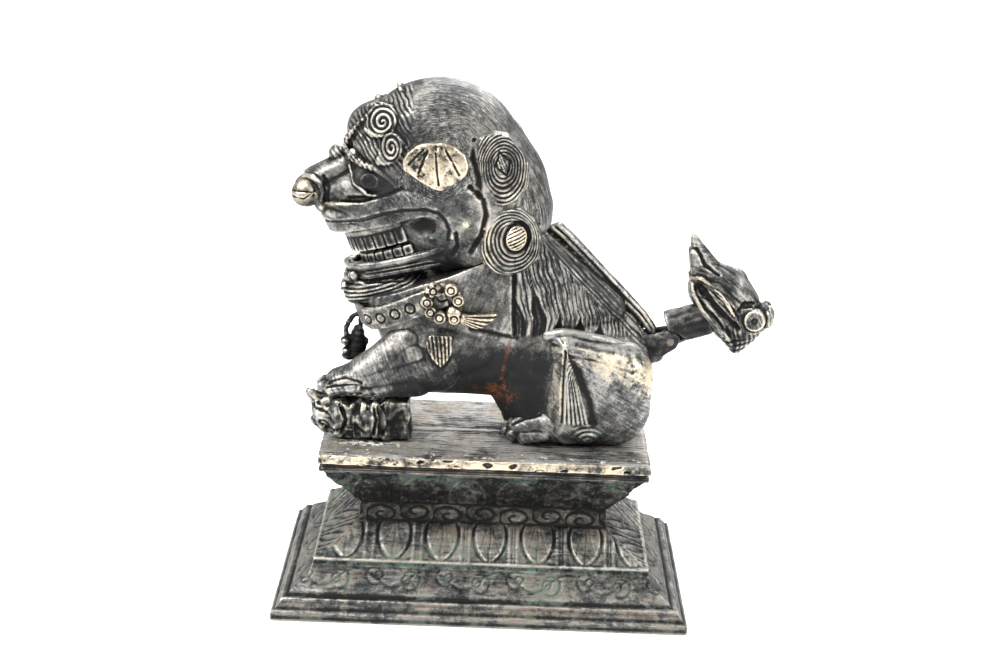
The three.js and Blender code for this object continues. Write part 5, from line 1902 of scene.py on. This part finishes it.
@dataclass
class Tail:
    """The lug on the rump, the stem that turns on its pin, and the flame-shaped plume."""

    pivot: tuple[float, float] = (59.5, 34.5)
    stem_tilt: float = 17.0
    stem_radius: float = 6.0
    stem_length: float = 15.0

    def build(self, shop: Workshop) -> None:
        """Makes the tail's pieces."""
        self._lug(shop)
        self._pin(shop)
        self._stem(shop)
        self._plume(shop)

    def _lug(self, shop: Workshop) -> None:
        """Two ears that carry the pin."""
        px, pz = self.pivot
        skins: list[Skin] = []
        for side in (-1.0, 1.0):
            skins.append([
                Ball(px + 0.1, side * 3.75, pz, 3.5, 1.35, 3.5), Ball(
                    px - 8.5, side * 3.75, pz - 3.5, 5.3, 1.5, 5.3
                )
            ])
        skins.append([Ball(px - 8.6, 0, pz - 3.5, 3.4, 4.9, 5.2)])
        skins.append([Ball(px - 9.5, 0, pz - 6.5, 3.5, 4.4, 4.4), Ball(px - 4, 0, pz - 6.6, 2.6, 3.8, 1.6)])
        clay = model(skins, 0.26, soften=2, seed=51)
        clay.push(0.3 * clay.lumps(1.4) - 0.15)
        clay.paint("dark", 0.5)
        clay.paint("brass", 0.1 * rise(33 - clay.z, 0, 4))
        shop.deliver("tail_lug_casting", clay, Slot.FIGURE, ["tail_lug"])

    def _pin(self, shop: Workshop) -> None:
        """The cross pin, headed over at both ends."""
        px, pz = self.pivot
        bm = bmesh.new()
        turn = Matrix.Translation((px, 0.0, pz)) @ Matrix.Rotation(math.pi / 2, 4, "X")
        bmesh.ops.create_cone(
            bm, cap_ends=True, segments=40, radius1=1.4, radius2=1.4, depth=10.6, matrix=turn
        )
        caps = [
            edge for edge in bm.edges if len({face.normal.to_tuple(1) for face in edge.link_faces}) > 1
            and abs(edge.verts[0].co.y - edge.verts[1].co.y) < 0.01
        ]
        bmesh.ops.bevel(bm, geom=caps, offset=0.5, affect="EDGES", segments=4, profile=0.5, material=-1)
        steps = [("REMESH", {"mode": "VOXEL", "voxel_size": 0.2 * COARSE})]
        clay = Clay(evaluated(mesh_of(bm, "pin"), steps), seed=52)
        shop.deliver("tail_cross_pin", clay, Slot.IRON, ["tail_pin"])

    def _stem(self, shop: Workshop) -> None:
        """The dark round stem with its tongue between the ears."""
        tilt = math.radians(self.stem_tilt)
        px, pz = self.pivot
        lift = self.stem_radius * 0.6
        way = Vector((math.cos(tilt), 0.0, math.sin(tilt)))
        up = Vector((-math.sin(tilt), 0.0, math.cos(tilt)))
        base = Vector((px, 0.0, pz)) + up * lift

        tongue_end = Vector((px, 0.0, pz)) + way * 7.0

        def ring(along: float) -> Skin:
            """The edge of the stem at a distance along it."""
            spokes = [(math.cos(a), math.sin(a)) for a in np.radians(np.arange(0, 360, 24))]
            reach = self.stem_radius - 0.9
            places = [base + way * along + up * (reach * c) + Vector((0, reach * k, 0)) for c, k in spokes]
            return [Ball(place.x, place.y, place.z, 0.8) for place in places]

        front = base + way * 1.4
        skins = [ring(0.9) + ring(self.stem_length - 1.0)]
        room = [
            [Ball(px, side * 4.2, pz, 4.6, 2.1, 4.6), Ball(px - 1, side * 4.2, pz - 2, 4.6, 2.1, 4.6)]
            for side in (-1.0, 1.0)
        ]
        tongue = [[Ball(px, 0, pz, 3.4, 1.9, 3.4), Ball(tongue_end.x, 0, tongue_end.z, 2.4, 1.9, 2.4)]]
        clay = model(skins + tongue, 0.28, soften=2, hollows=room, seed=53)
        spot = clay.at - np.array([front.x + 4.0, 0.0, front.z + 6.0])
        crusty = hump(np.linalg.norm(spot, axis=1), 6.5)
        clay.push(0.2 * clay.lumps(1.6) - 0.15)
        clay.paint("dark", 0.4 + 0.5 * rise(44 - clay.z + 0.3 * (clay.x - 65), 0, 4))
        clay.paint("crust", 0.28 * crusty)
        clay.paint("brass", 0.12 * rise(38 - clay.z, 0, 3))
        clay.comb(clay.y, clay.x, 0.4, 1)
        shop.deliver("tail_stem_casting", clay, Slot.FIGURE, ["tail_stem"], Body.TAIL)

    def _plume(self, shop: Workshop) -> None:
        """A bud of curled, grooved flame lobes with a ringed boss on each side."""
        skins = [
            [Ball(73.5, 0, 50, 6.6, 7.4, 8.6), Ball(83.6, 0, 41.4, 7.6, 8, 7.6)],
            [Ball(73, 0, 55, 4.6, 5.5, 6.4), Ball(79.6, 0, 51.6, 6, 6.4, 7.8), Ball(84, 0, 46.4, 5, 6, 6.6)],
            [Ball(72, 0, 55.5, 5, 5.4, 6), Ball(67.4, 0, 64, 2.6, 3.2, 3.6),
                Ball(65.5, 0, 69.6, 0.9, 1.1, 1)],
            [Ball(70, -2.6, 55, 4.4, 3, 6), Ball(65.4, -2.6, 64.4, 1.1, 1.4, 1.4)],
            [Ball(70, 2.6, 55, 4.4, 3, 6), Ball(65.4, 2.6, 64.4, 1.1, 1.4, 1.4)],
            [Ball(84, 0, 41, 6.6, 7.4, 6.6), Ball(90.6, 0, 43.2, 2.9, 5.6, 4.4)],
            [Ball(83, 0, 38.6, 6.6, 7, 5.6), Ball(81.8, 0, 31.9, 2.2, 4.6, 1.8)],
            [Ball(68.2, 0, 52, 3.6, 5.6, 5.4), Ball(75, 0, 40.6, 3.4, 6, 3.4),
                Ball(80, 0, 34.4, 2.4, 5.4, 2.2)],
        ]
        rim = ((65.6, -3, 56), (68.6, -6.2, 57), (72.6, -8.2, 54), (76.6, -8.7, 50), (79.4, -8.7, 45.8))
        skins += both(coil(rim, 0.95, 0.8))
        skins += both(
            coil(((65.8, -3, 56), (66.6, -5.2, 51), (69.4, -6.8, 46), (73.6, -7.6, 41.4), (78.6, -7.8, 37)),
            0.9, 0.8)
        )
        skins += both([[Ball(86.2, -6, 43.6, 4, 2.9, 4)], [Ball(84.6, -5.4, 43.9, 4.1, 2.6, 4.2)]])
        skins += both([[Ball(91.6, -3.6, 43.9, 2, 3.2, 4)]])
        clay = model(skins, 0.3, soften=2, mirrored=True, seed=54)
        x, z = clay.x, clay.z
        out = clay.flank
        boss = np.hypot(x - 86.4, z - 43.6)
        relief = out * (0.5 * hump(boss - 3, 0.8) - 0.75 * hump(boss, 2.4)) + 0.25 * hump(boss, 0.7) * out
        bow = np.hypot(x - 63.0, z - 34.0)
        grooved = rise(17.4 - np.abs(bow - 22), 0, 3) * (boss > 5.2) * rise(x, 66, 69)
        strands = furrows(bow + 0.4 * clay.lumps(2), 1.6, 1.0) * (0.6 + 0.5 * clay.lumps(4))
        relief -= 0.3 * strands * grooved * rise(63 - z, 0, 4)
        relief += clay.line(
            ((67.6, -5.6, 54), (71.4, -7.4, 49.6), (76, -8.2, 44.6), (80.4, -8.4, 40.6)), 1.9, -1.5
        )
        relief += clay.line(((81, -7.4, 46.8), (83, -7.4, 49), (87, -6, 49.4)), 1, -0.7)
        relief += clay.line(((66.6, -1.8, 65.5), (69.4, -4.4, 61), (74, -5.6, 58.5)), 1, -0.8)
        relief -= 0.35 * furrows(z - 0.28 * x, 1.9, 2.0) * rise(37.4 - z, 0, 1.5) * out
        clay.push(relief + 0.12 * clay.lumps(1.8))
        clay.comb(bow, z - x, 0.7, 1.4)
        clay.paint("brass", 0.4 * hump(clay.track(rim)[0], 1.1) + 0.5 * hump(boss - 3.1, 1) * out + 0.12)
        clay.paint("brass", 0.4 * hump(np.hypot(x - 65.8, z - 64.6), 2.4))
        shop.deliver("tail_plume_casting", clay, Slot.FIGURE, ["tail_plume"], Body.TAIL)


# --- studio and main


@dataclass(frozen=True)
class Studio:
    """The pale floor, the soft lights and the camera, in millimetres round the part's origin."""

    camera: Point = (-11.37, -621.95, 276.37)
    right: Point = (0.99932, 0.00844, 0.03598)
    up: Point = (-0.03688, 0.29107, 0.95599)
    lens: float = 70.56
    floor_size: float = 6000.0

    def build(self) -> None:
        """Makes the whole studio."""
        self._floor()
        self._world()
        self._area("key_softbox", (-380, -260, 560), 300, 5.5)
        self._area("fill_softbox", (460, -300, 380), 300, 2.4)
        self._area("rear_softbox", (120, 430, 460), 360, 3.6)
        bpy.context.scene.view_settings.view_transform = "Standard"
        self._camera()

    def _floor(self) -> None:
        """A broad pale floor."""
        bm = bmesh.new()
        bmesh.ops.create_grid(bm, x_segments=4, y_segments=4, size=self.floor_size * MM / 2)
        mesh = bpy.data.meshes.new("studio_floor")
        bm.to_mesh(mesh)
        bm.free()
        g = Graph("studio_paper")
        g.set(Base_Color=grey(0.92), Roughness=0.9, Emission_Color=grey(1.0), Emission_Strength=0.22)
        mesh.materials.append(g.material)
        floor = bpy.data.objects.new("studio_floor", mesh)
        bpy.context.scene.collection.objects.link(floor)

    @staticmethod
    def _world() -> None:
        """A white surround, brightest overhead."""
        world = bpy.data.worlds.new("studio_white")
        world.use_nodes = True
        nodes, links = world.node_tree.nodes, world.node_tree.links
        way = nodes.new("ShaderNodeTexCoord")
        parts = nodes.new("ShaderNodeSeparateXYZ")
        level = nodes.new("ShaderNodeMapRange")
        level.inputs["To Min"].default_value, level.inputs["To Max"].default_value = 0.34, 1.30
        links.new(way.outputs["Generated"], parts.inputs[0])
        links.new(parts.outputs["Z"], level.inputs["Value"])
        links.new(level.outputs[0], nodes["Background"].inputs["Strength"])
        nodes["Background"].inputs["Color"].default_value = grey(1.0)
        bpy.context.scene.world = world

    def _area(self, name: str, place: Point, size: float, power: float) -> None:
        """A square soft light aimed at the figure.

        Args:
            name: The light's name.
            place: Where it stands.
            size: Its side.
            power: Its power in watts.
        """
        data = bpy.data.lights.new(name, "AREA")
        data.size, data.energy = size * MM, power
        light = bpy.data.objects.new(name, data)
        light.location = Vector(place) * MM
        aim = Vector((0.0, 0.0, 80.0)) * MM - light.location
        light.rotation_mode = "QUATERNION"
        light.rotation_quaternion = aim.to_track_quat("-Z", "Y")
        bpy.context.scene.collection.objects.link(light)

    def _camera(self) -> None:
        """The camera, a little above the figure and in front of its left side."""
        data = bpy.data.cameras.new("camera")
        data.lens, data.sensor_width = self.lens, 36.0
        data.clip_start, data.clip_end = 0.01, 50.0
        right, up = Vector(self.right), Vector(self.up)
        back = right.cross(up)
        turn = Matrix((right, up, back)).transposed().to_4x4()
        camera = bpy.data.objects.new("camera", data)
        camera.matrix_world = Matrix.Translation(Vector(self.camera) * MM) @ turn
        bpy.context.scene.collection.objects.link(camera)
        bpy.context.scene.camera = camera


def dress_fixings(iron: bpy.types.Material) -> None:
    """Gives the screws and washers, which keep their own shapes, the iron finish."""
    for name in ("front_screw", "front_washer", "rear_screw", "rear_washer"):
        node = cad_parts[name]
        node.data.materials.clear()
        node.data.materials.append(iron)


def main() -> None:
    """Builds the object and its studio."""
    logging.basicConfig(level=logging.INFO, format="%(message)s")
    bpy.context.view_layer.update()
    finishes = {
        Slot.FIGURE: Patina("figure_patina").make(),
        Slot.PLINTH: Patina("plinth_patina", brownness=0.75, wear_from=0.6, lift=0.40,
            roughness=0.42).make(),
        Slot.BRASS: Patina("rubbed_brass", skin_mid=(0.22, 0.19, 0.15, 1.0), roughness=0.36).make(),
        Slot.IRON: Iron().make(),
    }
    place = Place.from_frame()
    shop = Workshop(place, finishes)
    Studio().build()
    for part in (Plinth(place), Head(), BodyCasting(), Legs(), Tail()):
        part.build(shop)
    dress_fixings(finishes[Slot.IRON])
    LOG.info("all pieces: %d triangles", shop.triangles)


if __name__ == "__main__":
    main()
